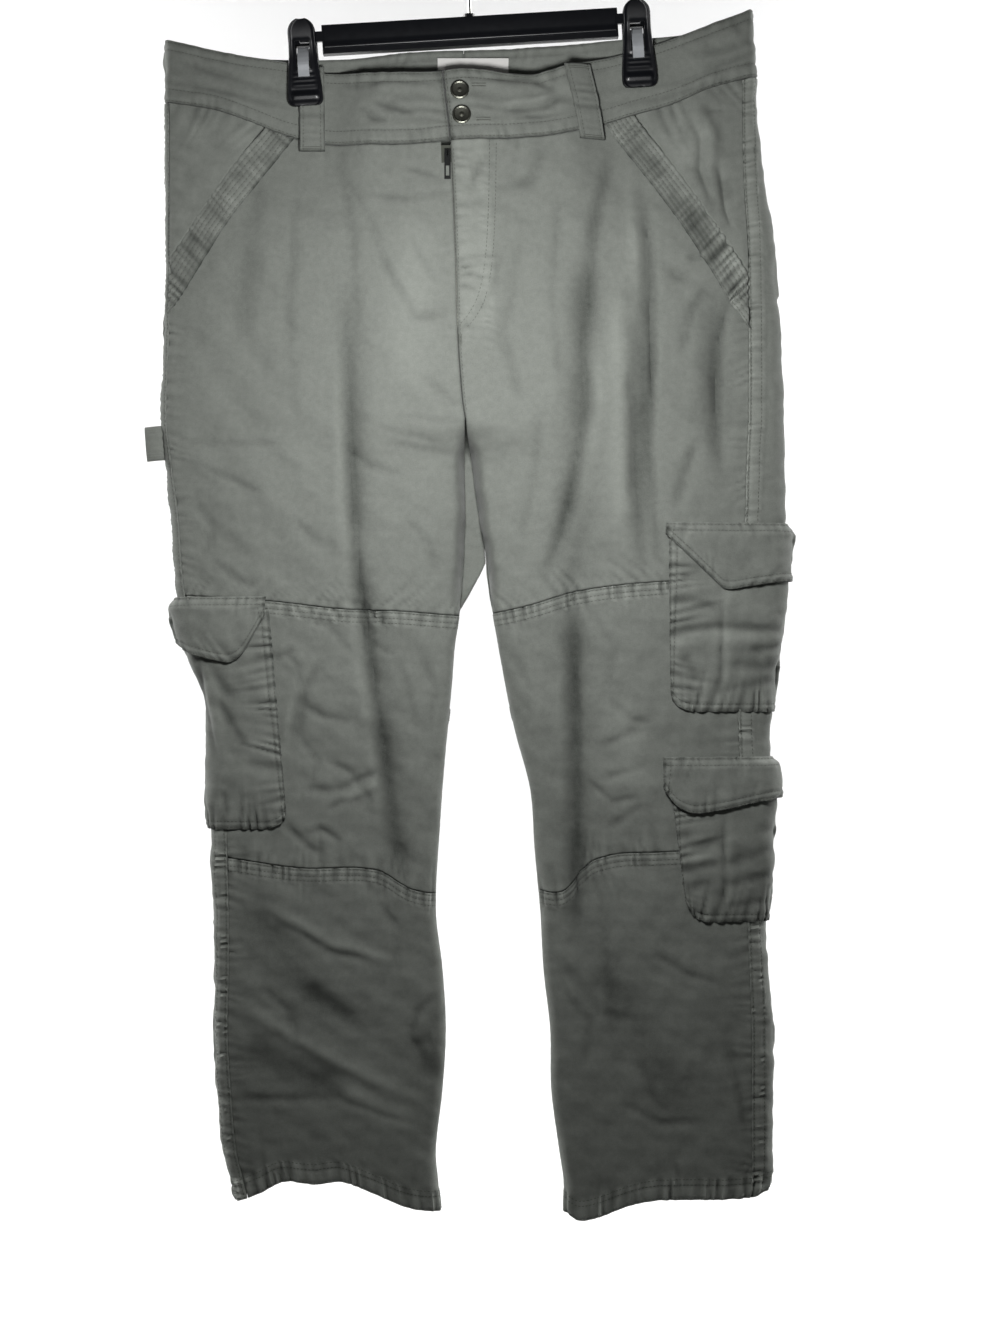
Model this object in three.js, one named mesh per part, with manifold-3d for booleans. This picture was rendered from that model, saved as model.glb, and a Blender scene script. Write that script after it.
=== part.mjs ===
// Cargo pants of cotton twill, hung by the waistband from a plastic clip hanger with a wire hook.
// Units are millimetres. +Z is up, the garment's front faces -Y, and its wearer's left leg is on +X.
// The origin is the top of the hook's inside, where the hook rests on a rod.
//
// The cloth is a set of walls. One function, bodyPoint, gives the outer face of the worn shape at any
// place round a leg and any height, and each panel is a grid on it with a second grid one wall inside.
// What lies on a panel (waistband, pockets, flaps, loops) is a grid on the same face, moved out.
import * as THREE from "three";
import { mergeVertices } from "three/addons/utils/BufferGeometryUtils.js";
import Module from "manifold-3d";

const wasm = await Module();
wasm.setup();

// Driving dimensions.
const CLOTH = 1.8; // twill with its seam allowances
const SEAM = 0.15; // half of the gap between two pieces that are sewn edge to edge
const LAY = 0.7; // gap under a piece that lies on another
const POCKET_LAY = 1.2; // the same for a pocket or a flap
const WAISTBAND = { proud: 0.9, wall: 2.4 };
const OVERLAY = 1.6; // wall of a pocket, flap or band that lies on the cloth
const HOOK_X = 6.3; // the tables' x is measured from the fly, and the hook stands here
const LEAN = THREE.MathUtils.degToRad(3.4); // the hanger's left end is the higher
const CLIP_X = { right: -143, left: 157 };
const SEAM_TRIM = 0.0008; // half of the side seam's gap, as a share of the ring
const PINCH = { half: 3.2, flat: 20, reach: 66, full: -176, none: -300 };
const ROUND = 0.12; // share of a half ring that its rounded edge takes

// Centre front: the fly's edge above the crotch.
const CENTRE_FRONT = [
  { z: -100, x: -21 },
  { z: -134, x: -18 },
  { z: -197, x: -11 },
  { z: -300, x: -6 },
  { z: -373, x: -4 },
  { z: -430, x: 0 },
  { z: -446, x: 2.5 },
];
const CROTCH = { top: -446, round: -486, webTop: -573, webEnd: -617, roundBack: -585 };

// Centre back: the seat seam, which dips below the front's crotch.
const CENTRE_BACK = [
  { z: -80, x: 0 },
  { z: -300, x: 4 },
  { z: -450, x: 11 },
  { z: -573, x: 20.5 },
];

// The wearer's right leg: silhouette, inner edge, and how far the side seam lies in from the silhouette.
const LEG_RIGHT = [
  { z: -104, outer: -268, inner: 2.5, seam: 5 },
  { z: -200, outer: -268, inner: 2.5, seam: 5 },
  { z: -300, outer: -267, inner: 2.5, seam: 5 },
  { z: -373, outer: -269, inner: 2.5, seam: 5 },
  { z: -446, outer: -271, inner: 2.5, seam: 5 },
  { z: -482, outer: -268, inner: 1.5, seam: 6 },
  { z: -536, outer: -262, inner: 2, seam: 7 },
  { z: -590, outer: -259, inner: 0, seam: 8 },
  { z: -622, outer: -254, inner: -3, seam: 9 },
  { z: -650, outer: -245, inner: -7, seam: 10 },
  { z: -676, outer: -234, inner: -9, seam: 11 },
  { z: -700, outer: -227, inner: -11, seam: 12 },
  { z: -752, outer: -226, inner: -16, seam: 13 },
  { z: -806, outer: -227, inner: -20, seam: 15 },
  { z: -886, outer: -225, inner: -24, seam: 15 },
  { z: -940, outer: -224, inner: -18, seam: 14 },
  { z: -994, outer: -224, inner: -15, seam: 13 },
  { z: -1048, outer: -221, inner: -18, seam: 13 },
  { z: -1102, outer: -216, inner: -24, seam: 13 },
  { z: -1130, outer: -208, inner: -22, seam: 12 },
  { z: -1165, outer: -199, inner: -18, seam: 12 },
];
const LEG_LEFT = [
  { z: -76, outer: 260, inner: 2.5, seam: 9 },
  { z: -160, outer: 264, inner: 2.5, seam: 13 },
  { z: -197, outer: 267, inner: 2.5, seam: 16 },
  { z: -238, outer: 272, inner: 2.5, seam: 20 },
  { z: -292, outer: 280, inner: 2.5, seam: 25 },
  { z: -346, outer: 285, inner: 2.5, seam: 29 },
  { z: -446, outer: 289, inner: 2.5, seam: 33 },
  { z: -482, outer: 290, inner: 7, seam: 36 },
  { z: -520, outer: 290, inner: 12, seam: 37 },
  { z: -573, outer: 287, inner: 21, seam: 36 },
  { z: -616, outer: 285, inner: 26, seam: 34 },
  { z: -670, outer: 278, inner: 35, seam: 31 },
  { z: -724, outer: 276, inner: 46, seam: 29 },
  { z: -778, outer: 276, inner: 60, seam: 26 },
  { z: -832, outer: 275, inner: 64, seam: 22 },
  { z: -886, outer: 272, inner: 69, seam: 17 },
  { z: -940, outer: 275, inner: 72, seam: 18 },
  { z: -994, outer: 279, inner: 78, seam: 20 },
  { z: -1048, outer: 279, inner: 79, seam: 20 },
  { z: -1102, outer: 279, inner: 86, seam: 20 },
  { z: -1130, outer: 277, inner: 90, seam: 19 },
  { z: -1165, outer: 270, inner: 90, seam: 18 },
];

// Half depths at the middle of the front and the back, and the radius of the folded edges.
const DEPTHS = [
  { z: -76, front: 12, back: 9, edge: 6 },
  { z: -134, front: 15, back: 10, edge: 7 },
  { z: -200, front: 21, back: 17, edge: 8 },
  { z: -300, front: 27, back: 25, edge: 10 },
  { z: -450, front: 28, back: 28, edge: 11 },
  { z: -600, front: 25, back: 25, edge: 11 },
  { z: -750, front: 22, back: 21, edge: 10 },
  { z: -900, front: 19, back: 19, edge: 9 },
  { z: -1050, front: 18, back: 18, edge: 9 },
  { z: -1165, front: 20, back: 18, edge: 10 },
];

// Lines across the garment, each a height at each x.
const WAIST_TOP_FRONT = [
  { x: -268, z: -104 },
  { x: -202, z: -119 },
  { x: -158, z: -124 },
  { x: -123, z: -134 },
  { x: -31, z: -135 },
  { x: 5, z: -132 },
  { x: 60, z: -138 },
  { x: 88, z: -130 },
  { x: 143, z: -117 },
  { x: 203, z: -98 },
  { x: 260, z: -76 },
];
const WAIST_TOP_BACK = [
  { x: -268, z: -104 },
  { x: -202, z: -118 },
  { x: -123, z: -121 },
  { x: -50, z: -113 },
  { x: 50, z: -109 },
  { x: 140, z: -103 },
  { x: 203, z: -97 },
  { x: 260, z: -76 },
];
const WAIST_FOOT_FRONT = [
  { x: -268, z: -161 },
  { x: -225, z: -168 },
  { x: -189, z: -180 },
  { x: -150, z: -193 },
  { x: -110, z: -200 },
  { x: -50, z: -201 },
  { x: 0, z: -197 },
  { x: 48, z: -196 },
  { x: 97, z: -189 },
  { x: 154, z: -172 },
  { x: 192, z: -161 },
  { x: 224, z: -148 },
  { x: 266, z: -137 },
];
const WAIST_FOOT_BACK = [
  { x: -268, z: -161 },
  { x: -200, z: -178 },
  { x: -100, z: -182 },
  { x: 0, z: -178 },
  { x: 120, z: -167 },
  { x: 200, z: -153 },
  { x: 266, z: -137 },
];
const THIGH_SEAM = [
  { x: -262, z: -603 },
  { x: -173, z: -609 },
  { x: -110, z: -616 },
  { x: -58, z: -618 },
  { x: 0, z: -622 },
  { x: 26, z: -620 },
  { x: 59, z: -613 },
  { x: 104, z: -600 },
  { x: 176, z: -592 },
  { x: 290, z: -589 },
];
const KNEE_SEAM = [
  { x: -228, z: -836 },
  { x: -148, z: -847 },
  { x: -78, z: -849 },
  { x: -48, z: -866 },
  { x: -20, z: -871 },
  { x: 66, z: -868 },
  { x: 90, z: -868 },
  { x: 118, z: -840 },
  { x: 181, z: -833 },
  { x: 280, z: -830 },
];
const HEM = [
  { x: -210, z: -1150 },
  { x: -182, z: -1139 },
  { x: -160, z: -1128 },
  { x: -131, z: -1130 },
  { x: -107, z: -1128 },
  { x: -80, z: -1138 },
  { x: -48, z: -1152 },
  { x: -18, z: -1156 },
  { x: 88, z: -1156 },
  { x: 102, z: -1164 },
  { x: 122, z: -1160 },
  { x: 149, z: -1149 },
  { x: 176, z: -1144 },
  { x: 257, z: -1143 },
  { x: 282, z: -1134 },
];

// The largest folds: a soft ridge (out above zero) or trough along a line, with its half width.
const FOLDS = [
  { face: "front", x0: -104, z0: -330, x1: -96, z1: -571, width: 13, out: -4.5 },
  { face: "front", x0: -96, z0: -571, x1: -76, z1: -689, width: 12, out: -5 },
  { face: "front", x0: -76, z0: -689, x1: -57, z1: -870, width: 13, out: -5.5 },
  { face: "front", x0: 112, z0: -300, x1: 104, z1: -470, width: 14, out: -5 },
  { face: "front", x0: 104, z0: -470, x1: 93, z1: -600, width: 15, out: -5.5 },
  { face: "front", x0: 95, z0: -600, x1: 100, z1: -900, width: 14, out: -6 },
  { face: "front", x0: 160, z0: -300, x1: 160, z1: -560, width: 9, out: -5 },
  { face: "front", x0: 138, z0: -330, x1: 142, z1: -560, width: 10, out: 3 },
  { face: "front", x0: 222, z0: -330, x1: 226, z1: -480, width: 11, out: -4 },
  { face: "front", x0: -40, z0: -260, x1: -50, z1: -420, width: 22, out: 2.5 },
  { face: "front", x0: -195, z0: -880, x1: -120, z1: -985, width: 15, out: -4 },
  { face: "front", x0: -200, z0: -1010, x1: -105, z1: -1048, width: 14, out: -5 },
  { face: "front", x0: -105, z0: -1048, x1: -45, z1: -1085, width: 15, out: 3.5 },
  { face: "front", x0: -42, z0: -1000, x1: -22, z1: -1040, width: 10, out: -5 },
  { face: "front", x0: 120, z0: -930, x1: 200, z1: -1070, width: 18, out: -3.5 },
  { face: "front", x0: 140, z0: -700, x1: 160, z1: -790, width: 16, out: 3 },
  { face: "back", x0: -120, z0: -320, x1: -110, z1: -600, width: 16, out: -5 },
  { face: "back", x0: -108, z0: -640, x1: -90, z1: -900, width: 15, out: -5 },
  { face: "back", x0: 130, z0: -320, x1: 128, z1: -640, width: 16, out: -5 },
  { face: "back", x0: 150, z0: -690, x1: 165, z1: -960, width: 15, out: -5 },
  { face: "back", x0: 60, z0: -430, x1: 150, z1: -520, width: 15, out: -3.5 },
  { face: "back", x0: -30, z0: -440, x1: -130, z1: -520, width: 15, out: -3.5 },
  { face: "back", x0: -180, z0: -980, x1: -80, z1: -1040, width: 16, out: -4 },
  { face: "back", x0: 120, z0: -1010, x1: 230, z1: -1070, width: 16, out: -4 },
];

const clamp = (v, low, high) => Math.min(high, Math.max(low, v));
const lerp = (a, b, t) => a + (b - a) * t;
const smooth = (from, to, at) => {
  const t = clamp((at - from) / (to - from), 0, 1);
  return t * t * (3 - 2 * t);
};

// The smooth curve through a table's rows, read at one column's value of another.
function along(rows, by, key, at) {
  const up = rows[rows.length - 1][by] > rows[0][by];
  const row = (i) => rows[clamp(up ? i : rows.length - 1 - i, 0, rows.length - 1)];
  const last = rows.length - 1;
  const v = clamp(at, row(0)[by], row(last)[by]);
  let i = 0;
  while (i < last - 1 && row(i + 1)[by] < v) i++;
  const [before, a, b, after] = [row(Math.max(i - 1, 0)), row(i), row(i + 1), row(Math.min(i + 2, last))];
  const span = b[by] - a[by];
  const t = (v - a[by]) / span;
  const slopeA = before === a ? (b[key] - a[key]) / span : (b[key] - before[key]) / (b[by] - before[by]);
  const slopeB = after === b ? (b[key] - a[key]) / span : (after[key] - a[key]) / (after[by] - a[by]);
  const [t2, t3] = [t * t, t * t * t];
  return (
    (2 * t3 - 3 * t2 + 1) * a[key] + (t3 - 2 * t2 + t) * span * slopeA +
    (-2 * t3 + 3 * t2) * b[key] + (t3 - t2) * span * slopeB
  );
}

const LEG = { right: LEG_RIGHT, left: LEG_LEFT };
const outerX = (side, z) => along(LEG[side], "z", "outer", z);
const depthAt = (key, z) => along(DEPTHS, "z", key, z);

// The inner edge of a front: the fly's edge above the crotch, then the inseam.
function innerFront(side, z) {
  return z > CROTCH.top ? along(CENTRE_FRONT, "z", "x", z) : along(LEG[side], "z", "inner", z);
}

// The inner edge of a back: the seat seam, which ends in a slanted edge below the crotch, then the inseam.
function innerBack(side, z) {
  const seat = along(CENTRE_BACK, "z", "x", z);
  const legInner = along(LEG[side], "z", "inner", z);
  const t = clamp((CROTCH.webTop - z) / (CROTCH.webTop - CROTCH.webEnd), 0, 1);
  return z > CROTCH.webTop ? seat : lerp(seat, legInner, t);
}

// How much a face is a leg of its own (1) or part of the whole hip (0).
const legShare = (face, z) =>
  face === "front" ? smooth(CROTCH.top, CROTCH.round, z) : smooth(CROTCH.roundBack, CROTCH.webEnd, z);

const quarter = (q) => (q >= 1 ? 1 : Math.sqrt(Math.max(0, 1 - (1 - q) * (1 - q))));

// How far the folds move a face out at one place.
function foldOut(face, x, z) {
  let out = 0;
  for (const fold of FOLDS) {
    if (fold.face !== face) continue;
    const [dx, dz] = [fold.x1 - fold.x0, fold.z1 - fold.z0];
    const length = Math.hypot(dx, dz);
    const t = ((x - fold.x0) * dx + (z - fold.z0) * dz) / (length * length);
    const off = Math.abs((x - fold.x0) * dz - (z - fold.z0) * dx) / length;
    const ends = smooth(-0.12, 0.18, t) * smooth(1.12, 0.82, t);
    out += fold.out * ends * Math.exp(-((off / fold.width) ** 2));
  }
  return out;
}

// A half depth at x: a rounded edge, then a shallow crown across the hip or the leg.
function halfDepth(side, face, x, z) {
  const edge = depthAt("edge", z);
  const full = depthAt(face, z);
  const inner = face === "front" ? innerFront(side, z) : innerBack(side, z);
  const outer = outerX(side, z);
  const legHalf = Math.abs(outer - inner) / 2;
  const fromOuter = quarter(Math.abs(outer - x) / edge);
  const fromInner = quarter(Math.abs(x - inner) / edge);
  const onLeg = clamp((x - (outer + inner) / 2) / legHalf, -1, 1);
  const leg = edge * fromOuter * fromInner + (full - edge) * (1 - onLeg * onLeg);
  const [low, high] = [outerX("right", z), outerX("left", z)];
  const onHip = clamp((x - (low + high) / 2) / ((high - low) / 2), -1, 1);
  const hip = edge * fromOuter + (full - edge) * (1 - onHip * onHip);
  const share = legShare(face, z);
  const calm = smooth(0, 30, Math.abs(outer - x)) * lerp(1, smooth(0, 25, Math.abs(x - inner)), share);
  const open = lerp(hip, leg, share) + foldOut(face, x, z) * calm;
  return lerp(open, Math.min(open, PINCH.half), pinch(x, z));
}

// How much the clips press front and back together at one place.
function pinch(x, z) {
  const near = Math.min(Math.abs(x - CLIP_X.right), Math.abs(x - CLIP_X.left));
  return smooth(PINCH.reach, PINCH.flat, near) * smooth(PINCH.none, PINCH.full, z);
}

// A place round one leg's ring: 0 is the front's inner edge, 1 the silhouette and 2 the back's inner edge.
function bodyPoint(side, w, z) {
  const face = w <= 1 ? "front" : "back";
  const share = w <= 1 ? clamp(w, 0, 1) : clamp(2 - w, 0, 1);
  const gap = (side === "left" ? 1 : -1) * SEAM;
  const inner = (face === "front" ? innerFront(side, z) : innerBack(side, z)) + gap;
  const outer = outerX(side, z);
  const toward = Math.sign(outer - inner);
  const edge = depthAt("edge", z);
  const turn = (q) => edge * (1 - Math.cos((Math.PI / 2) * q));
  let x;
  if (share < ROUND) x = inner + toward * turn(share / ROUND);
  else if (share > 1 - ROUND) x = outer - toward * turn((1 - share) / ROUND);
  else x = lerp(inner + toward * edge, outer - toward * edge, (share - ROUND) / (1 - 2 * ROUND));
  let y = halfDepth(side, face, x, z);
  if (face === "front") {
    y = -y;
    // Below the crotch the front's inner edge turns in until it meets the back's inside.
    const shared = legShare("front", z);
    if (shared > 0 && share < ROUND) {
      const reach = Math.max(halfDepth(side, "back", inner, z) - CLOTH - 2 * SEAM - 0.1, -SEAM);
      y += shared * reach * (1 - Math.sin((Math.PI / 2) * (share / ROUND)));
    }
  }
  return new THREE.Vector3(x, y, z);
}

function unitNormal(point, s, t, step, sense) {
  const [ds, dt] = step;
  const ahead = point(s + ds, t).sub(point(s - ds, t));
  const up = point(s, t + dt).sub(point(s, t - dt));
  return ahead.cross(up).multiplyScalar(sense).normalize();
}

// The same place moved out along the face's normal.
function bodyOut(side, w, z, out) {
  const sense = side === "left" ? 1 : -1;
  const at = clamp(w, 0.004, 1.996);
  const normal = unitNormal((a, b) => bodyPoint(side, a, b), at, z, [0.004, 1], sense);
  return bodyPoint(side, w, z).addScaledVector(normal, out);
}

// A place on the front or the back of the hip given by x, moved out.
function facePoint(side, face, x, z, out) {
  const sign = face === "front" ? -1 : 1;
  const point = (a, b) => new THREE.Vector3(a, sign * halfDepth(side, face, a, b), b);
  const normal = unitNormal(point, x, z, [0.5, 0.5], -sign);
  return point(x, z).addScaledVector(normal, out);
}

// The ring place of an x on one face.
function ringAt(side, face, x, z) {
  const inner = face === "front" ? innerFront(side, z) : innerBack(side, z);
  const outer = outerX(side, z);
  const edge = depthAt("edge", z);
  const [fromOuter, fromInner, width] = [Math.abs(outer - x), Math.abs(x - inner), Math.abs(outer - inner)];
  const angle = (d) => (Math.acos(clamp(1 - d / edge, 0, 1)) / (Math.PI / 2)) * ROUND;
  let share;
  if (fromOuter < edge) share = 1 - angle(fromOuter);
  else if (fromInner < edge) share = angle(fromInner);
  else share = ROUND + ((fromInner - edge) / (width - 2 * edge)) * (1 - 2 * ROUND);
  return face === "front" ? share : 2 - share;
}

const sideSeam = (side, z) =>
  ringAt(side, "front", outerX(side, z) - Math.sign(outerX(side, z)) * along(LEG[side], "z", "seam", z), z);

// The height at which a line across the garment meets one place round the ring.
function heightOn(line, side, w) {
  if (line.between) {
    const [high, low] = line.between.map((each) => heightOn(each, side, w));
    return lerp(high, low, line.share);
  }
  const rows = Array.isArray(line) ? line : w <= 1 ? line.front : line.back;
  let z = rows[Math.floor(rows.length / 2)].z;
  for (let i = 0; i < 6; i++) z = along(rows, "x", "z", bodyPoint(side, w, z).x);
  return z;
}

// A wall between two grids of points, rows by columns, with its four rims.
function wallGeometry(outer, inner) {
  const [rows, columns] = [outer.length, outer[0].length];
  const places = [...outer.flat(), ...inner.flat()];
  const at = (layer, i, j) => layer * rows * columns + i * columns + j;
  const faces = [];
  const quad = (a, b, c, d) => faces.push([a, b, c], [a, c, d]);
  for (let i = 0; i < rows - 1; i++)
    for (let j = 0; j < columns - 1; j++) {
      quad(at(0, i, j), at(0, i + 1, j), at(0, i + 1, j + 1), at(0, i, j + 1));
      quad(at(1, i, j), at(1, i, j + 1), at(1, i + 1, j + 1), at(1, i + 1, j));
    }
  const rim = [];
  for (let j = 0; j < columns - 1; j++) rim.push([0, j]);
  for (let i = 0; i < rows - 1; i++) rim.push([i, columns - 1]);
  for (let j = columns - 1; j > 0; j--) rim.push([rows - 1, j]);
  for (let i = rows - 1; i > 0; i--) rim.push([i, 0]);
  rim.forEach(([i, j], k) => {
    const [i2, j2] = rim[(k + 1) % rim.length];
    quad(at(0, i, j), at(0, i2, j2), at(1, i2, j2), at(1, i, j));
  });
  return facingOut(places, faces);
}

// A geometry from points and faces, turned round if it encloses a negative volume.
function facingOut(places, faces) {
  let volume = 0;
  for (const [a, b, c] of faces) volume += places[a].dot(places[b].clone().cross(places[c]));
  const index = faces.flatMap(([a, b, c]) => (volume < 0 ? [a, c, b] : [a, b, c]));
  const geometry = new THREE.BufferGeometry();
  geometry.setAttribute("position", new THREE.Float32BufferAttribute(places.flatMap((p) => p.toArray()), 3));
  geometry.setIndex(index);
  return geometry;
}

// A wall on a leg's ring. Its columns are ring places at each height. Its rows are spread over bands of
// the given counts, between lines that are heights at each ring place.
function ringWall({ side, columns, lines, counts, out = 0, wall = CLOTH }) {
  const [outer, inner] = [[], []];
  const levels = counts.flatMap((count, band) => steps(band, band + 1, count).slice(band ? 1 : 0));
  const ends = [-SEAM, SEAM];
  for (const level of levels) {
    const band = Math.min(Math.floor(level), counts.length - 1);
    const line = [[], []];
    for (const column of columns) {
      let z = -600;
      let w = column(z);
      for (let k = 0; k < 4; k++) {
        const high = heightOn(lines[band], side, w) + (band === 0 ? ends[0] : 0);
        const low = heightOn(lines[band + 1], side, w) + (band === counts.length - 1 ? ends[1] : 0);
        z = lerp(high, low, level - band);
        w = column(z);
      }
      line[0].push(bodyOut(side, w, z, out));
      line[1].push(bodyOut(side, w, z, out - wall));
    }
    outer.push(line[0]);
    inner.push(line[1]);
  }
  return wallGeometry(outer, inner);
}

const steps = (from, to, count) => Array.from({ length: count + 1 }, (_, i) => lerp(from, to, i / count));

// Columns from the inner edge to just short of the side seam.
function frontColumns(side, count) {
  return [
    ...[0, 1 / 3, 2 / 3].map((q) => () => q * ROUND),
    ...steps(0, 1, count).map((q) => (z) => lerp(ROUND, sideSeam(side, z) - SEAM_TRIM, q)),
  ];
}

// Columns from the seat seam or inseam, round the silhouette, to just past the side seam.
function backColumns(side, count, turn) {
  return [
    ...[0, 1 / 3, 2 / 3].map((q) => () => 2 - q * ROUND),
    ...steps(2 - ROUND, 1 + ROUND, count).map((w) => () => w),
    ...steps(1 + ROUND, 1, 3).slice(1).map((w) => () => w),
    ...steps(0, 1, turn).slice(1).map((q) => (z) => lerp(1, sideSeam(side, z) + SEAM_TRIM, q)),
  ];
}

// A wall that lies on the cloth: place gives a point on it for u and v, moved out by the last number.
function layWall(place, columns, rows, out, wall = OVERLAY) {
  const grid = (depth) =>
    steps(0, 1, rows).map((v) => steps(0, 1, columns).map((u) => place(u, v, out(u, v) - depth)));
  return wallGeometry(grid(0), grid(wall));
}

function toSolid(geometry) {
  const bare = geometry.index ? geometry.toNonIndexed() : geometry.clone();
  bare.deleteAttribute("normal");
  bare.deleteAttribute("uv");
  const merged = mergeVertices(bare, 1e-4);
  return new wasm.Manifold(
    new wasm.Mesh({
      numProp: 3,
      vertProperties: new Float32Array(merged.attributes.position.array),
      triVerts: new Uint32Array(merged.index.array),
    }),
  );
}

// The largest body of a solid, as a geometry.
function toGeometry(solid) {
  const largest = solid.decompose().sort((a, b) => b.volume() - a.volume())[0];
  const mesh = largest.getMesh();
  const geometry = new THREE.BufferGeometry();
  geometry.setAttribute("position", new THREE.BufferAttribute(new Float32Array(mesh.vertProperties), 3));
  geometry.setIndex(new THREE.BufferAttribute(new Uint32Array(mesh.triVerts), 1));
  return geometry;
}

// A flat outline in x and z, run through the whole depth, for cutting.
function cutter(outline, from, to) {
  const shape = new THREE.Shape(outline.map(([x, z]) => new THREE.Vector2(x, z)));
  const geometry = new THREE.ExtrudeGeometry(shape, { depth: to - from, bevelEnabled: false });
  geometry.rotateX(Math.PI / 2);
  geometry.translate(0, to, 0);
  return toSolid(geometry);
}

const TWILL = 0x767a72;
const STEEL = 0xa9a8a4;
const BLACK_PLASTIC = 0x1a1b20;

const garment = new THREE.Group();
const hanger = new THREE.Group();

function add(group, name, geometry, { color = TWILL, roughness = 0.85, metalness = 0 } = {}) {
  const mesh = new THREE.Mesh(geometry, new THREE.MeshStandardMaterial({ color, roughness, metalness }));
  mesh.name = name;
  group.add(mesh);
  return mesh;
}

// The slanted hip pocket: the middle line of its stitched band, from the waistband to the side seam.
const HIP_BAND = {
  right: { x0: -165, z0: -190, x1: -260, z1: -325, bow: -4 },
  left: { x0: 145, z0: -184, x1: 249, z1: -333, bow: 4 },
};
const BAND_HALF = 13.5;
const FACING_UNDER = 12;

// A place on the hip pocket's band: t runs along it and s across it, toward the garment's corner.
function bandPlace(side, t, s) {
  const sign = side === "left" ? 1 : -1;
  const { x0, z0, x1, z1, bow } = HIP_BAND[side];
  const length = Math.hypot(x1 - x0, z1 - z0);
  const [nx, nz] = [(sign * (z0 - z1)) / length, (sign * (x1 - x0)) / length];
  return [lerp(x0, x1, t) + bow * Math.sin(Math.PI * clamp(t, 0, 1)) + s * nx, lerp(z0, z1, t) + s * nz];
}

// The share at which a rising test turns true.
function solve(test, low, high) {
  for (let i = 0; i < 24; i++) {
    const middle = (low + high) / 2;
    if (test(middle)) high = middle;
    else low = middle;
  }
  return high;
}

const seamX = (side, z) => outerX(side, z) - Math.sign(outerX(side, z)) * along(LEG[side], "z", "seam", z);

// The corner of the front that the hip pocket opens.
function hipCorner(side) {
  const sign = side === "left" ? 1 : -1;
  const edge = steps(-0.3, 1.3, 12).map((t) => bandPlace(side, t, BAND_HALF - 0.5));
  const far = [sign * 340, edge[edge.length - 1][1]];
  return cutter([...edge, far, [sign * 340, -90], [edge[0][0], -90]], -80, 10);
}

function hipBand(side) {
  const [across, ahead] = [(u) => lerp(-BAND_HALF, BAND_HALF, u), 0.7];
  const start = (s) =>
    solve((t) => {
      const [x, z] = bandPlace(side, t, s);
      return z < along(WAIST_FOOT_FRONT, "x", "z", x) - ahead;
    }, -0.4, 0.4);
  const end = (s) =>
    solve((t) => {
      const [x, z] = bandPlace(side, t, s);
      return Math.abs(x) > Math.abs(seamX(side, z)) - ahead;
    }, 0.5, 1.5);
  const place = (u, v, out) => {
    const s = across(u);
    const [x, z] = bandPlace(side, lerp(start(s), end(s), v), s);
    return facePoint(side, "front", x, z, out);
  };
  return layWall(place, 4, 12, (u, v) => LAY + OVERLAY + 1.5 * (1 - v) ** 3);
}

// The cloth behind the hip pocket's opening, sewn in at the waistband and the side seam.
function hipFacing(side) {
  const { x0, z0, x1, z1 } = HIP_BAND[side];
  const sign = side === "left" ? 1 : -1;
  const length = Math.hypot(x1 - x0, z1 - z0);
  const [nx, nz] = [(sign * (z0 - z1)) / length, (sign * (x1 - x0)) / length];
  const under = BAND_HALF - FACING_UNDER;
  const low = solve((drop) => {
    const z = -drop;
    return Math.abs(bandPlace(side, (z - nz * under - z0) / (z1 - z0), under)[0]) > Math.abs(seamX(side, z)) - 4;
  }, 250, 420);
  const place = (u, v, out) => {
    let [x, z] = [sign * 220, -200];
    for (let k = 0; k < 8; k++) {
      z = lerp(along(WAIST_FOOT_FRONT, "x", "z", x) - 4 * SEAM, -low, v);
      const t = (z - nz * under - z0) / (z1 - z0);
      x = lerp(bandPlace(side, t, under)[0], seamX(side, z) - sign * 0.5, u);
    }
    const s = (x - x0) * nx + (z - z0) * nz;
    const deep = lerp(-CLOTH - 0.9, -0.3, smooth(BAND_HALF + 2, BAND_HALF + 26, s));
    return facePoint(side, "front", x, z, out + deep);
  };
  return layWall(place, 9, 8, () => 0, 1.2);
}

// Panels: each leg's front in three, cut at the thigh and below the knee, and its back in two.
const ZIP_SLOT = { left: -18.2, right: -8, top: -190, foot: -217.5 };
const WAIST_FOOT = { front: WAIST_FOOT_FRONT, back: WAIST_FOOT_BACK };
const WAIST_TOP = { front: WAIST_TOP_FRONT, back: WAIST_TOP_BACK };
const BAND_ROWS = { thigh: 12, knee: 6, shin: 8 };
const BACK_SEAM = { between: [THIGH_SEAM, KNEE_SEAM], share: 1 / 3 }; // its ends are under the cargo pockets

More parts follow.
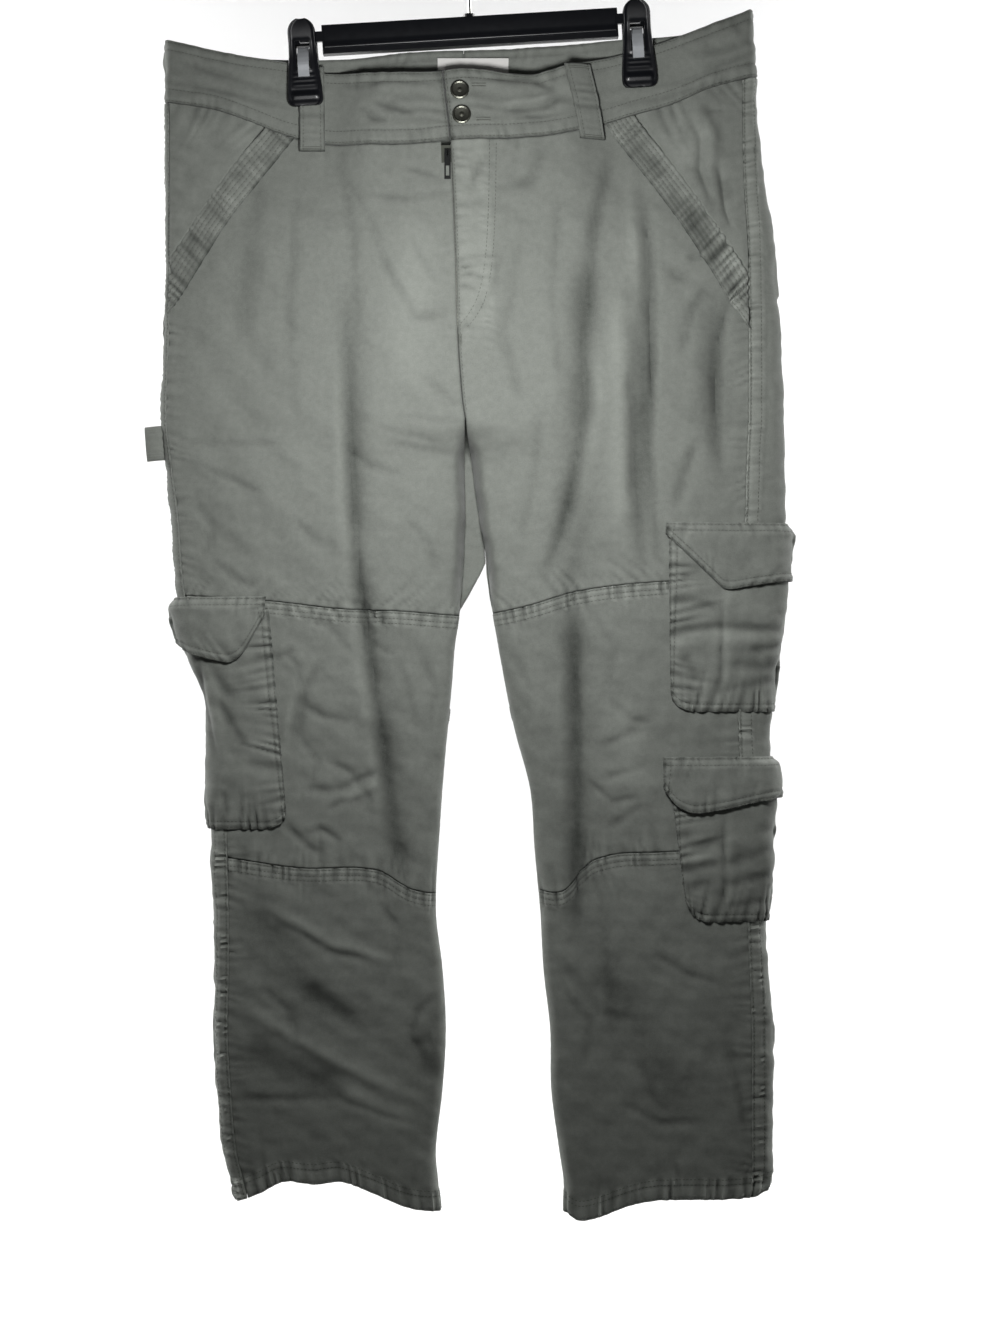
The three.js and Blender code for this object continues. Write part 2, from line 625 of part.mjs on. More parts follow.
for (const side of ["right", "left"]) {
  const [front, back] = [frontColumns(side, 12), backColumns(side, 9, 3)];
  const { thigh, knee, shin } = BAND_ROWS;
  const cut = knee * BACK_SEAM.share;
  const upperBack = { lines: [WAIST_FOOT, THIGH_SEAM, BACK_SEAM], counts: [thigh, cut] };
  const lowerBack = { lines: [BACK_SEAM, KNEE_SEAM, HEM], counts: [knee - cut, shin] };
  add(garment, `back_upper_${side}`, ringWall({ side, columns: back, ...upperBack }));
  add(garment, `back_lower_${side}`, ringWall({ side, columns: back, ...lowerBack }));
  const upper = ringWall({ side, columns: front, lines: [WAIST_FOOT, THIGH_SEAM], counts: [thigh] });
  let thighSolid = toSolid(upper).subtract(hipCorner(side));
  if (side === "right") {
    // The right front's edge stands back at the top of the fly, where the zip's slider shows.
    const { left, right, top, foot } = ZIP_SLOT;
    const slot = cutter([[left, top], [left, foot + 3], [left + 3, foot], [right, foot], [right, top]], -80, 10);
    thighSolid = thighSolid.subtract(slot);
  }
  add(garment, `front_thigh_${side}`, toGeometry(thighSolid));
  add(garment, `front_knee_${side}`, ringWall({ side, columns: front, lines: [THIGH_SEAM, KNEE_SEAM], counts: [knee] }));
  add(garment, `front_shin_${side}`, ringWall({ side, columns: front, lines: [KNEE_SEAM, HEM], counts: [shin] }));
  add(garment, `hip_facing_${side}`, hipFacing(side));
  add(garment, `hip_pocket_band_${side}`, hipBand(side));
  const round = [...front.slice(0, -1), ...back.slice(0, -1).reverse()];
  const band = { lines: [WAIST_TOP, WAIST_FOOT], counts: [3], out: WAISTBAND.proud, wall: WAISTBAND.wall };
  add(garment, `waistband_${side}`, ringWall({ side, columns: round, ...band }));
}

// Cargo pockets: the front edge's x at the top and foot, the heights, and the reach round onto the back.
const POCKETS = [
  { name: "right", side: "right", x0: -172, x1: -157, top: -617, foot: -813, corner: 14, reach: 78 },
  { name: "left_upper", side: "left", x0: 183, x1: 185, top: -551, foot: -708, corner: 16, reach: 62 },
  { name: "left_lower", side: "left", x0: 183, x1: 198, top: -761, foot: -896, corner: 26, reach: 70 },
];
const POCKET_BULGE = 3;

// Flaps: the foot's height at each share of the way from the front edge to the back one.
const FLAPS = {
  right: { x: -175, top: -605, foot: [[0, -622], [0.1, -655], [0.18, -663], [0.5, -646], [1, -650]] },
  left_upper: { x: 180, top: -539, foot: [[0, -552], [0.12, -575], [0.24, -599], [0.5, -590], [1, -594]] },
  left_lower: { x: 178, top: -748, foot: [[0, -776], [0.06, -792], [0.15, -798], [0.5, -785], [1, -788]] },
};

// A patch wrapped round a leg's side, from an x on the front to a reach on the back.
function wrapPlace(side, frontX, reach, top, foot) {
  const sign = side === "left" ? 1 : -1;
  return (u, v, out) => {
    const z = lerp(top(u), foot(u), v);
    const from = ringAt(side, "front", frontX(v), z);
    const to = ringAt(side, "back", outerX(side, z) - sign * reach, z);
    return bodyOut(side, lerp(from, to, u), z, out);
  };
}

const bulge = (u, v) => POCKET_BULGE * Math.sin(Math.PI * u) ** 0.7 * (0.6 + 0.4 * smooth(0, 0.2, v)) * (1 - v ** 8);

for (const { name, side, x0, x1, top, foot, corner, reach } of POCKETS) {
  const round = (u) => corner * (1 - Math.sqrt(1 - Math.max(0, 1 - Math.min(u, 1 - u) / 0.12) ** 2));
  const body = wrapPlace(side, (v) => lerp(x0, x1, v), reach, () => top, (u) => foot + round(u));
  add(garment, `cargo_pocket_${name}`, layWall(body, 12, 8, (u, v) => POCKET_LAY + OVERLAY + bulge(u, v)));
  const flap = FLAPS[name];
  const rows = flap.foot.map(([u, z]) => ({ u, z }));
  const hang = wrapPlace(side, () => flap.x, reach + 4, () => flap.top, (u) => along(rows, "u", "z", u));
  const over = (u, v) => POCKET_LAY + OVERLAY + smooth(0, 0.2, v) * (2.9 + bulge(u, 0.3));
  add(garment, `cargo_flap_${name}`, layWall(hang, 12, 4, over));
}

// Belt loops over the waistband: their middle's x at the top and foot, and their heights.
const BELT_LOOPS = [
  { name: "front_right", face: "front", x0: -136, x1: -135, top: -129, foot: -206, bow: 0.4 },
  { name: "front_left", face: "front", x0: 102, x1: 115, top: -128, foot: -196, bow: 2.2 },
  { name: "back_right", face: "back", x0: -92, x1: -94, top: -121, foot: -192, bow: 2.2 },
  { name: "back_centre", face: "back", x0: 1, x1: 2, top: -113, foot: -188, bow: 2.2 },
  { name: "back_left", face: "back", x0: 104, x1: 106, top: -109, foot: -178, bow: 2.2 },
];
const LOOP_HALF = 11.5;

for (const { name, face, x0, x1, top, foot, bow } of BELT_LOOPS) {
  const place = (u, v, out) => {
    const x = lerp(x0, x1, v) + lerp(-LOOP_HALF, LOOP_HALF, u);
    return facePoint("left", face, x, lerp(top, foot, v), out);
  };
  const rise = (u, v) => WAISTBAND.proud + LAY + OVERLAY + bow * Math.sin(Math.PI * v) ** 2;
  add(garment, `belt_loop_${name}`, layWall(place, 3, 8, rise));
}

// The hammer loop: a strap sewn into the right side seam, standing out from the leg.
const HAMMER = { top: -452, foot: -484, stand: 17, half: 8, wall: 1.6 };
function hammerLoop() {
  const { top, foot, stand, half, wall } = HAMMER;
  const middle = (top + foot) / 2;
  const place = (u, v, out) => {
    const angle = Math.PI * v;
    const z = middle + ((top - foot) / 2 + out) * Math.cos(angle);
    const x = outerX("right", middle) - 1.2 - (stand - wall + out) * Math.sin(angle);
    return new THREE.Vector3(x, lerp(-half, half, u), z);
  };
  return layWall(place, 2, 12, () => 0, wall);
}
add(garment, "hammer_loop", hammerLoop());

const LABEL = { x0: -23, x1: 41, top: -124, foot: -158, wall: 0.8 };
const labelPlace = (u, v, out) =>
  facePoint("left", "back", lerp(LABEL.x0, LABEL.x1, u), lerp(LABEL.top, LABEL.foot, v), out);
const behindBand = WAISTBAND.proud - WAISTBAND.wall - 0.4;
add(garment, "label", layWall(labelPlace, 6, 3, () => behindBand, LABEL.wall), { color: 0xe9e8e4 });

// A plain box with its middle at a point.
function block(size, at) {
  return new THREE.BoxGeometry(...size).translate(...at);
}

const union = (...geometries) => geometries.map(toSolid).reduce((a, b) => a.add(b));

// Two shank buttons on the waistband's overlap.
const BUTTON_RADIUS = 8.5;
const BUTTONS = [
  { name: "button_upper", x: -2.7, z: -153 },
  { name: "button_lower", x: -0.9, z: -175.5 },
];
for (const { name, x, z } of BUTTONS) {
  const profile = [[0, 0], [5, 0], [7.6, 0.5], [8.5, 1.5], [8.3, 2.6], [7.2, 3.1], [6, 2.5], [2.4, 2.2], [0, 2.6]];
  const lathe = new THREE.LatheGeometry(profile.map(([r, h]) => new THREE.Vector2((r / 8.5) * BUTTON_RADIUS, h)), 18);
  const base = facePoint("left", "front", x, z, WAISTBAND.proud + 0.35);
  const normal = facePoint("left", "front", x, z, 1).sub(facePoint("left", "front", x, z, 0)).normalize();
  lathe.applyQuaternion(new THREE.Quaternion().setFromUnitVectors(new THREE.Vector3(0, 1, 0), normal));
  lathe.translate(...base.toArray());
  add(garment, name, lathe, { color: 0x50534d, roughness: 0.4, metalness: 0.9 });
}

// The zip: its tape behind the fly, its slider at the top, and the tab that hangs from the slider's bridge.
const ZIP = { x: -18, top: -202, foot: -372, half: 13, wall: 1.1 };
const SLIDER = { z: -211, width: 5.6, tall: 10, front: 1.2, bridge: 2.3, wire: 0.55 };
const TAB = { width: 5.6, long: 24, thick: 1.1, bar: 1.1, window: [2.6, 3.1], pivotOut: 1.35 };

const zipMiddle = (z) => along(CENTRE_FRONT, "z", "x", z) + 1;
const zipPlace = (u, v, out) => {
  const z = lerp(ZIP.top, ZIP.foot, v);
  return facePoint("left", "front", zipMiddle(z) + lerp(-ZIP.half, ZIP.half, u), z, out);
};
add(garment, "zip_tape", layWall(zipPlace, 4, 10, () => -CLOTH - 0.35, ZIP.wall), { color: 0x4c4f4a });

const slotMiddle = along(CENTRE_FRONT, "z", "x", SLIDER.z) - 3.3;
const clothFront = facePoint("right", "front", slotMiddle, SLIDER.z, 0).y;
const sliderBack = clothFront + CLOTH - 0.2;
const sliderFront = clothFront - SLIDER.front;
const pivot = new THREE.Vector3(slotMiddle, sliderFront - TAB.pivotOut, SLIDER.z + 1);

function zipSlider() {
  const depth = sliderBack - sliderFront;
  const body = block([SLIDER.width, depth, SLIDER.tall], [pivot.x, sliderFront + depth / 2, SLIDER.z]);
  const arch = new THREE.CatmullRomCurve3(
    steps(0, Math.PI, 8).map((a) => {
      const reach = -SLIDER.bridge * Math.sin(a);
      return new THREE.Vector3(pivot.x, pivot.y + reach, pivot.z + SLIDER.bridge * Math.cos(a));
    }),
  );
  const legs = [1, -1].map((end) => {
    const tall = 2 * SLIDER.wire;
    const deep = TAB.pivotOut + 1;
    return block([tall, deep, tall], [pivot.x, pivot.y + deep / 2 - 0.02, pivot.z + end * SLIDER.bridge]);
  });
  const section = new THREE.Shape().absarc(0, 0, SLIDER.wire, 0, 2 * Math.PI, false);
  const bow = new THREE.ExtrudeGeometry(section, { steps: 10, curveSegments: 4, bevelEnabled: false, extrudePath: arch });
  return toGeometry(union(body, bow, ...legs));
}

function pullTab() {
  const [hole, drop] = TAB.window;
  const rise = TAB.bar / 2;
  const plate = block([TAB.width, TAB.thick, TAB.long], [pivot.x, pivot.y, pivot.z + rise - TAB.long / 2]);
  const window = block([hole, 4, drop], [pivot.x, pivot.y, pivot.z - rise - drop / 2]);
  const grip = block([3, 4, 9], [pivot.x, pivot.y, pivot.z - 16]);
  return toGeometry(toSolid(plate).subtract(toSolid(window)).subtract(toSolid(grip)));
}

const METAL = { color: 0x8a857c, roughness: 0.35, metalness: 0.95 };
add(garment, "zip_slider", zipSlider(), METAL);
add(garment, "zip_pull_tab", pullTab(), METAL);

// Hanger: a channel bar with a boss for the hook, and a neck into each clip.
const BAR = { length: 266, tall: 26, deep: 10, wall: 2.4, z: -96.5 };
const NECK = { tall: 9, deep: 4, long: 22 };
const CROSS = { wide: 8, half: 9.4, tall: 5, reach: 150 };
const HOOK = { wire: 1.6, inner: 20, foot: -98 };

function hangerBar() {
  const [h, d, t] = [BAR.tall / 2, BAR.deep / 2, BAR.wall];
  const outline = [[-d, -h], [d, -h], [d, -h + t], [-d + t, -h + t], [-d + t, h - t], [d, h - t], [d, h], [-d, h]];
  const shape = new THREE.Shape(outline.map(([y, z]) => new THREE.Vector2(y, z)));
  const channel = new THREE.ExtrudeGeometry(shape, { depth: BAR.length, bevelEnabled: false });
  channel.applyMatrix4(new THREE.Matrix4().makeBasis(
    new THREE.Vector3(0, 1, 0), new THREE.Vector3(0, 0, 1), new THREE.Vector3(1, 0, 0),
  ));
  channel.translate(-BAR.length / 2, 0, 0);
  const necks = [-1, 1].map((end) =>
    block([NECK.long, NECK.deep, NECK.tall], [end * (BAR.length / 2 + NECK.long / 2 - 2), -d + NECK.deep / 2, 3]),
  );
  const crosses = [-1, 1].map((end) => block([CROSS.wide, 2 * CROSS.half, CROSS.tall], [end * CROSS.reach, 0, 3]));
  const boss = new THREE.CylinderGeometry(5, 5, BAR.tall, 16).rotateX(Math.PI / 2).translate(0, 0, 3);
  const hole = new THREE.CylinderGeometry(HOOK.wire + 0.35, HOOK.wire + 0.35, 60, 16).rotateX(Math.PI / 2);
  const bar = toGeometry(union(channel, ...necks, ...crosses, boss)).rotateY(-LEAN).translate(HOOK_X, 0, BAR.z);
  return toGeometry(toSolid(bar).subtract(toSolid(hole.translate(HOOK_X, 0, HOOK.foot - 0.5 + 30))));
}

// The hook's wire: up from the bar, out to one side, over the top and down to its open end.
function hangerHook() {
  const ring = HOOK.inner + HOOK.wire;
  const turn = [200, 160, 130, 100, 70, 40, 10, -20, -42].map((degree) => {
    const a = THREE.MathUtils.degToRad(degree);
    return [-ring * Math.cos(a), ring * Math.sin(a) - HOOK.inner];
  });
  const stem = [[0, HOOK.foot], [0, HOOK.foot + 18], [0, -62]];
  const lead = [[7, -48], [17, -36]];
  const path = [...stem, ...lead, ...turn.slice(1)].map(([x, z]) => new THREE.Vector3(x + HOOK_X, 0, z));
  const shape = new THREE.Shape().absarc(0, 0, HOOK.wire, 0, 2 * Math.PI, false);
  return new THREE.ExtrudeGeometry(shape, {
    steps: 44, curveSegments: 5, bevelEnabled: false, extrudePath: new THREE.CatmullRomCurve3(path),
  });
}

// Clips: heights are measured from the clip's middle, and grip is a jaw's inner face from the middle plane.
const JAW = { top: 38, foot: -39, wall: 2.6, topHalf: 12.5, footHalf: 16, spread: 13 };
const WINDOW = { half: 6.5, low: -7, high: 19 };
const SPRING = { half: 5, wall: 1, top: 15 };
const CLIPS = [
  { name: "right", x: CLIP_X.right, z: -126, front: 7.2, back: 4.8 },
  { name: "left", x: CLIP_X.left, z: -108.5, front: 4.8, back: 4.8 },
];

function jawFace(grip, h) {
  return grip + smooth(-12, 8, h) * (6.5 - Math.min(grip, 6.5)) + smooth(4, JAW.top, h) * (JAW.spread - 6.5);
}

function jaw(sign, grip) {
  const place = (u, v, out) => {
    const h = lerp(JAW.top, JAW.foot, v);
    const round = Math.sqrt(1 - clamp((h - JAW.top + JAW.topHalf) / (JAW.topHalf + 0.6), 0, 1) ** 2);
    const half = lerp(JAW.topHalf, JAW.footHalf, smooth(JAW.top - 20, JAW.foot + 6, h)) * round;
    return new THREE.Vector3(lerp(-half, half, u), sign * (jawFace(grip, h) + JAW.wall + out), h);
  };
  const plate = layWall(place, 6, 12, () => 0, JAW.wall);
  const { half, low, high } = WINDOW;
  const window = block([2 * half, 60, high - low], [0, sign * 20, (high + low) / 2]);
  return toGeometry(toSolid(plate).subtract(toSolid(window)));
}

// The spring: a bent strip whose two ends press on the jaws' outer faces below their windows.
function clipSpring(front, back) {
  const side = (sign, grip) => {
    const face = jawFace(grip, WINDOW.low - 3) + JAW.wall + 0.45 + SPRING.wall / 2;
    const heights = [WINDOW.low - 6, WINDOW.low, WINDOW.low + 7];
    return [...heights.map((h) => [sign * face, h]), [sign * 4.2, SPRING.top - 2.5]];
  };
  const bend = [0, SPRING.top];
  const path = [...side(-1, front), bend, ...side(1, back).reverse()];
  const curve = new THREE.CatmullRomCurve3(path.map(([y, z]) => new THREE.Vector3(0, y, z)), false, "centripetal");
  const place = (u, v, out) => {
    const at = curve.getPoint(v);
    const ahead = curve.getTangent(v);
    return new THREE.Vector3(lerp(-SPRING.half, SPRING.half, u), at.y - ahead.z * out, at.z + ahead.y * out);
  };
  return layWall(place, 1, 24, () => SPRING.wall / 2, SPRING.wall);
}

const PLASTIC = { color: BLACK_PLASTIC, roughness: 0.35 };
const SPRING_STEEL = { color: STEEL, roughness: 0.3, metalness: 0.9 };
add(hanger, "hanger_bar", hangerBar(), PLASTIC);
add(hanger, "hanger_hook", hangerHook(), SPRING_STEEL);
for (const { name, x, z, front, back } of CLIPS) {
  const seat = (geometry) => geometry.rotateY(-LEAN).translate(x, 0, z);
  add(hanger, `clip_front_${name}`, seat(jaw(-1, front)), PLASTIC);
  add(hanger, `clip_back_${name}`, seat(jaw(1, back)), PLASTIC);
  add(hanger, `clip_spring_${name}`, seat(clipSpring(front, back)), SPRING_STEEL);
}

const group = new THREE.Group().add(garment, hanger);
group.position.x = -HOOK_X;
export default group;
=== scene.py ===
"""Cargo pants of grey-green cotton twill, hung by the waistband from a plastic clip hanger.

The worn shape is one form, given by tables of heights, widths and depths in millimetres. Every panel,
band, pocket and flap is a thin shell on that form, with its folds, puckers and stitch rows.
"""

from __future__ import annotations

import logging
import math
from dataclasses import dataclass, field
from enum import Enum
from typing import Callable, Optional, Sequence, Union

import bpy
import numpy as np
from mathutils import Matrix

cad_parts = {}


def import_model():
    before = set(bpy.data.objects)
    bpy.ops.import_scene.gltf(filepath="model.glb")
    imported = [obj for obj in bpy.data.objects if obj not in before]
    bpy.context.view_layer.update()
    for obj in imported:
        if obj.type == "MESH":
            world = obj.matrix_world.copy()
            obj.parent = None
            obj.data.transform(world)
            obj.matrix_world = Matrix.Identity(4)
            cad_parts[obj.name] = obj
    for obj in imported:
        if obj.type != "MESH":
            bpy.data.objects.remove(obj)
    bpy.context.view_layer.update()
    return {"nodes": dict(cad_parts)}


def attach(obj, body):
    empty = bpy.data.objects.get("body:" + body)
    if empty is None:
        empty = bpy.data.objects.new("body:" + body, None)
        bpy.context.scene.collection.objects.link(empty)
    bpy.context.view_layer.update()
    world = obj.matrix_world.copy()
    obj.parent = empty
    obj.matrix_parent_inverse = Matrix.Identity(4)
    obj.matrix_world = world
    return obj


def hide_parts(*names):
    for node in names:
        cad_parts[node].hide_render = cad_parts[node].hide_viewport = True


LOG = logging.getLogger("cargo_pants")
MM = 0.001
HOOK_X = 6.3  # the tables' x is measured from the fly, and the hook stands here
ROUND = 0.12  # share of a half ring that its rounded edge takes
GAP = 0.15  # half of the gap between two pieces that are sewn edge to edge
TRIM = -0.0012  # the side seam's edges are tucked over one another by twice this share of the ring
CLOTH = 1.3  # wall of a panel
OVERLAY = 1.6  # how much higher than a panel the pieces on top of it lie
LAY = 0.7  # clearance below bands and loops
POCKET_LAY = 1.2  # clearance below pockets and flaps
THREAD_LIFT = 0.06  # how far a stitch row's middle stands off the cloth
GROOVE, GROOVE_HALF = 0.75, 1.2  # depth and half width of what a stitch row draws in
STRIP_RIPPLE, STRIP_WAVE = 1.7, 0.8  # a strip's ripples against its seam's, in size and length
JOINT_SHADE = 1.7  # how dark the painted shade in a joint is, as millimetres of relief
FRONT_CREASE, BACK_CREASE = 0.36, 0.2  # how much the folds add to the painted shade
HIDDEN_REACH = 1.8  # how far the crotch's front edge stays short of the back's inner face
SHARP_EDGE = math.radians(48)  # where a shell's shading breaks
CLIP_LEAN = math.radians(3.4)  # the hanger hangs a little askew
BODY = "garment"
Array = np.ndarray


class Side(Enum):
    """The wearer's own right and left."""

    RIGHT = "right"
    LEFT = "left"


class Face(Enum):
    """The two faces of the hung garment."""

    FRONT = "front"
    BACK = "back"


class Unit(Enum):
    """The small shapes that are repeated: a thread's bulge and a zip's tooth."""

    ICO = "ico"
    CUBE = "cube"


def lerp(a: Array, b: Array, t: Array) -> Array:
    """The value that share t of the way from a to b."""
    return a + (b - a) * t


def bell(at: Array, middle: float, width: float) -> Array:
    """A rise to 1 in the middle that fades to either side, within about twice its width."""
    return np.exp(-(((at - middle) / width) ** 2))


def smooth(low: float, high: float, at: Array) -> Array:
    """An eased step from 0 at low to 1 at high."""
    t = np.clip((at - low) / (high - low), 0, 1)
    return t * t * (3 - 2 * t)


class Curve:
    """The smooth curve through a table's rows of two numbers."""

    def __init__(self, rows: Sequence[tuple[float, float]]) -> None:
        """Sorts the rows by their first number and works out the slopes.

        Args:
            rows: pairs of place and value.
        """
        ordered = np.array(sorted(rows), float)
        self.x, self.y = ordered[:, 0], ordered[:, 1]
        steps = np.diff(self.y) / np.diff(self.x)
        self.slope = np.empty(len(self.x))
        self.slope[0], self.slope[-1] = steps[0], steps[-1]
        self.slope[1:-1] = (self.y[2:] - self.y[:-2]) / (self.x[2:] - self.x[:-2])

    def __call__(self, at: Array) -> Array:
        """The value at each place, held past the ends.

        Args:
            at: places.

        Returns:
            The values there.
        """
        v = np.clip(at, self.x[0], self.x[-1])
        i = np.clip(np.searchsorted(self.x, v) - 1, 0, len(self.x) - 2)
        span = self.x[i + 1] - self.x[i]
        t = (v - self.x[i]) / span
        t2, t3 = t * t, t * t * t
        ends = (2 * t3 - 3 * t2 + 1) * self.y[i] + (3 * t2 - 2 * t3) * self.y[i + 1]
        return ends + span * ((t3 - 2 * t2 + t) * self.slope[i] + (t3 - t2) * self.slope[i + 1])


# Columns: height, x of the silhouette, x of the inner edge, how far the side seam lies in.
LEG_ROWS = {
    Side.RIGHT: (
        (-104, -268, 2.5, 5), (-200, -268, 2.5, 5), (-300, -267, 2.5, 5), (-373, -269, 2.5, 5),
        (-446, -271, 2.5, 5), (-482, -268, 1.5, 6), (-536, -262, 2, 7), (-590, -259, 0, 8),
        (-622, -254, -3, 9), (-650, -245, -7, 10), (-676, -234, -9, 11), (-700, -227, -11, 12),
        (-752, -226, -16, 13), (-806, -227, -20, 15), (-886, -225, -24, 15), (-940, -224, -18, 14),
        (-994, -224, -15, 13), (-1048, -221, -18, 13), (-1102, -216, -24, 13), (-1130, -208, -22, 12),
        (-1165, -199, -18, 12),
    ),
    Side.LEFT: (
        (-76, 260, 2.5, 9), (-160, 264, 2.5, 13), (-197, 267, 2.5, 16), (-238, 272, 2.5, 20),
        (-292, 280, 2.5, 25), (-346, 285, 2.5, 29), (-446, 289, 2.5, 33), (-482, 290, 7, 36),
        (-520, 290, 12, 37), (-573, 287, 21, 36), (-616, 285, 26, 34), (-670, 278, 35, 31),
        (-724, 276, 46, 29), (-778, 276, 60, 26), (-832, 275, 64, 22), (-886, 272, 69, 17),
        (-940, 275, 72, 18), (-994, 279, 78, 20), (-1048, 279, 79, 20), (-1102, 279, 86, 20),
        (-1130, 277, 90, 19), (-1165, 270, 90, 18),
    ),
}
# Columns: height, half depth in front, half depth behind, radius of the folded edge.
DEPTH_ROWS = (
    (-76, 12, 9, 6), (-134, 15, 10, 7), (-200, 21, 17, 8), (-300, 27, 25, 10), (-450, 28, 28, 11),
    (-600, 25, 25, 11), (-750, 22, 21, 10), (-900, 19, 19, 9), (-1050, 18, 18, 9), (-1165, 20, 18, 10),
)
CENTRE_FRONT = Curve(((-100, -21), (-134, -18), (-197, -11), (-300, -6), (-373, -4), (-430, 0), (-446, 2.5)))
CENTRE_BACK = Curve(((-80, 0), (-300, 4), (-450, 11), (-573, 20.5)))
# Lines across the garment: x, height.
WAIST_TOP = {
    Face.FRONT: Curve((
        (-268, -104), (-202, -119), (-158, -124), (-123, -134), (-31, -135), (5, -132), (60, -138),
        (88, -130), (143, -117), (203, -98), (260, -76),
    )),
    Face.BACK: Curve((
        (-268, -104), (-202, -118), (-123, -121), (-50, -113), (50, -109), (140, -103), (203, -97), (260, -76),
    )),
}
WAIST_FOOT = {
    Face.FRONT: Curve((
        (-268, -161), (-225, -168), (-189, -180), (-150, -193), (-110, -200), (-50, -201), (0, -197),
        (48, -196), (97, -189), (154, -172), (192, -161), (224, -148), (266, -137),
    )),
    Face.BACK: Curve(((-268, -161), (-200, -178), (-100, -182), (0, -178), (120, -167), (200, -153), (266, -137))),
}
THIGH_SEAM = Curve((
    (-262, -603), (-173, -609), (-110, -616), (-58, -618), (0, -622), (26, -620), (59, -613), (104, -600),
    (176, -592), (290, -589),
))
KNEE_SEAM = Curve((
    (-228, -836), (-148, -847), (-78, -849), (-48, -866), (-20, -871), (66, -868), (90, -868), (118, -840),
    (181, -833), (280, -830),
))
HEM = Curve((
    (-210, -1150), (-182, -1139), (-160, -1128), (-131, -1130), (-107, -1128), (-80, -1138), (-48, -1152),
    (-18, -1156), (88, -1156), (102, -1164), (122, -1160), (149, -1149), (176, -1144), (257, -1143), (282, -1134),
))


@dataclass(frozen=True)
class Between:
    """A line that keeps a share of the way between two others."""

    high: Curve
    low: Curve
    share: float


BACK_SEAM = Between(THIGH_SEAM, KNEE_SEAM, 1 / 3)  # its ends are under the cargo pockets


@dataclass(frozen=True)
class Fold:
    """One soft ridge (out above zero) or trough along a line on a face of the garment."""

    face: Face
    width: float
    out: float
    line: tuple[tuple[float, float], ...]

    def height(self, x: Array, z: Array) -> Array:
        """How far it moves the cloth out at each place.

        Args:
            x: places across.
            z: heights.

        Returns:
            Millimetres out, negative in a trough.
        """
        points = np.array(self.line, float)
        lengths = np.hypot(*np.diff(points, axis=0).T)
        total = lengths.sum()
        near = np.full(np.shape(x), np.inf)
        along = np.zeros(np.shape(x))
        done = 0.0
        for i, length in enumerate(lengths):
            dx, dz = points[i + 1] - points[i]
            t = ((x - points[i, 0]) * dx + (z - points[i, 1]) * dz) / length**2
            over = 0.15 * total / length
            held = np.clip(t, -over if i == 0 else 0, 1 + (over if i == len(lengths) - 1 else 0))
            off = np.hypot(x - points[i, 0] - held * dx, z - points[i, 1] - held * dz)
            closer = off < near
            near = np.where(closer, off, near)
            along = np.where(closer, (done + held * length) / total, along)
            done += length
        ends = smooth(-0.12, 0.22, along) * smooth(1.12, 0.78, along)
        uneven = 0.85 + 0.15 * np.sin(9.0 * along + points[0, 0])
        return self.out * ends * uneven * bell(near, 0, self.width)


F = Face.FRONT
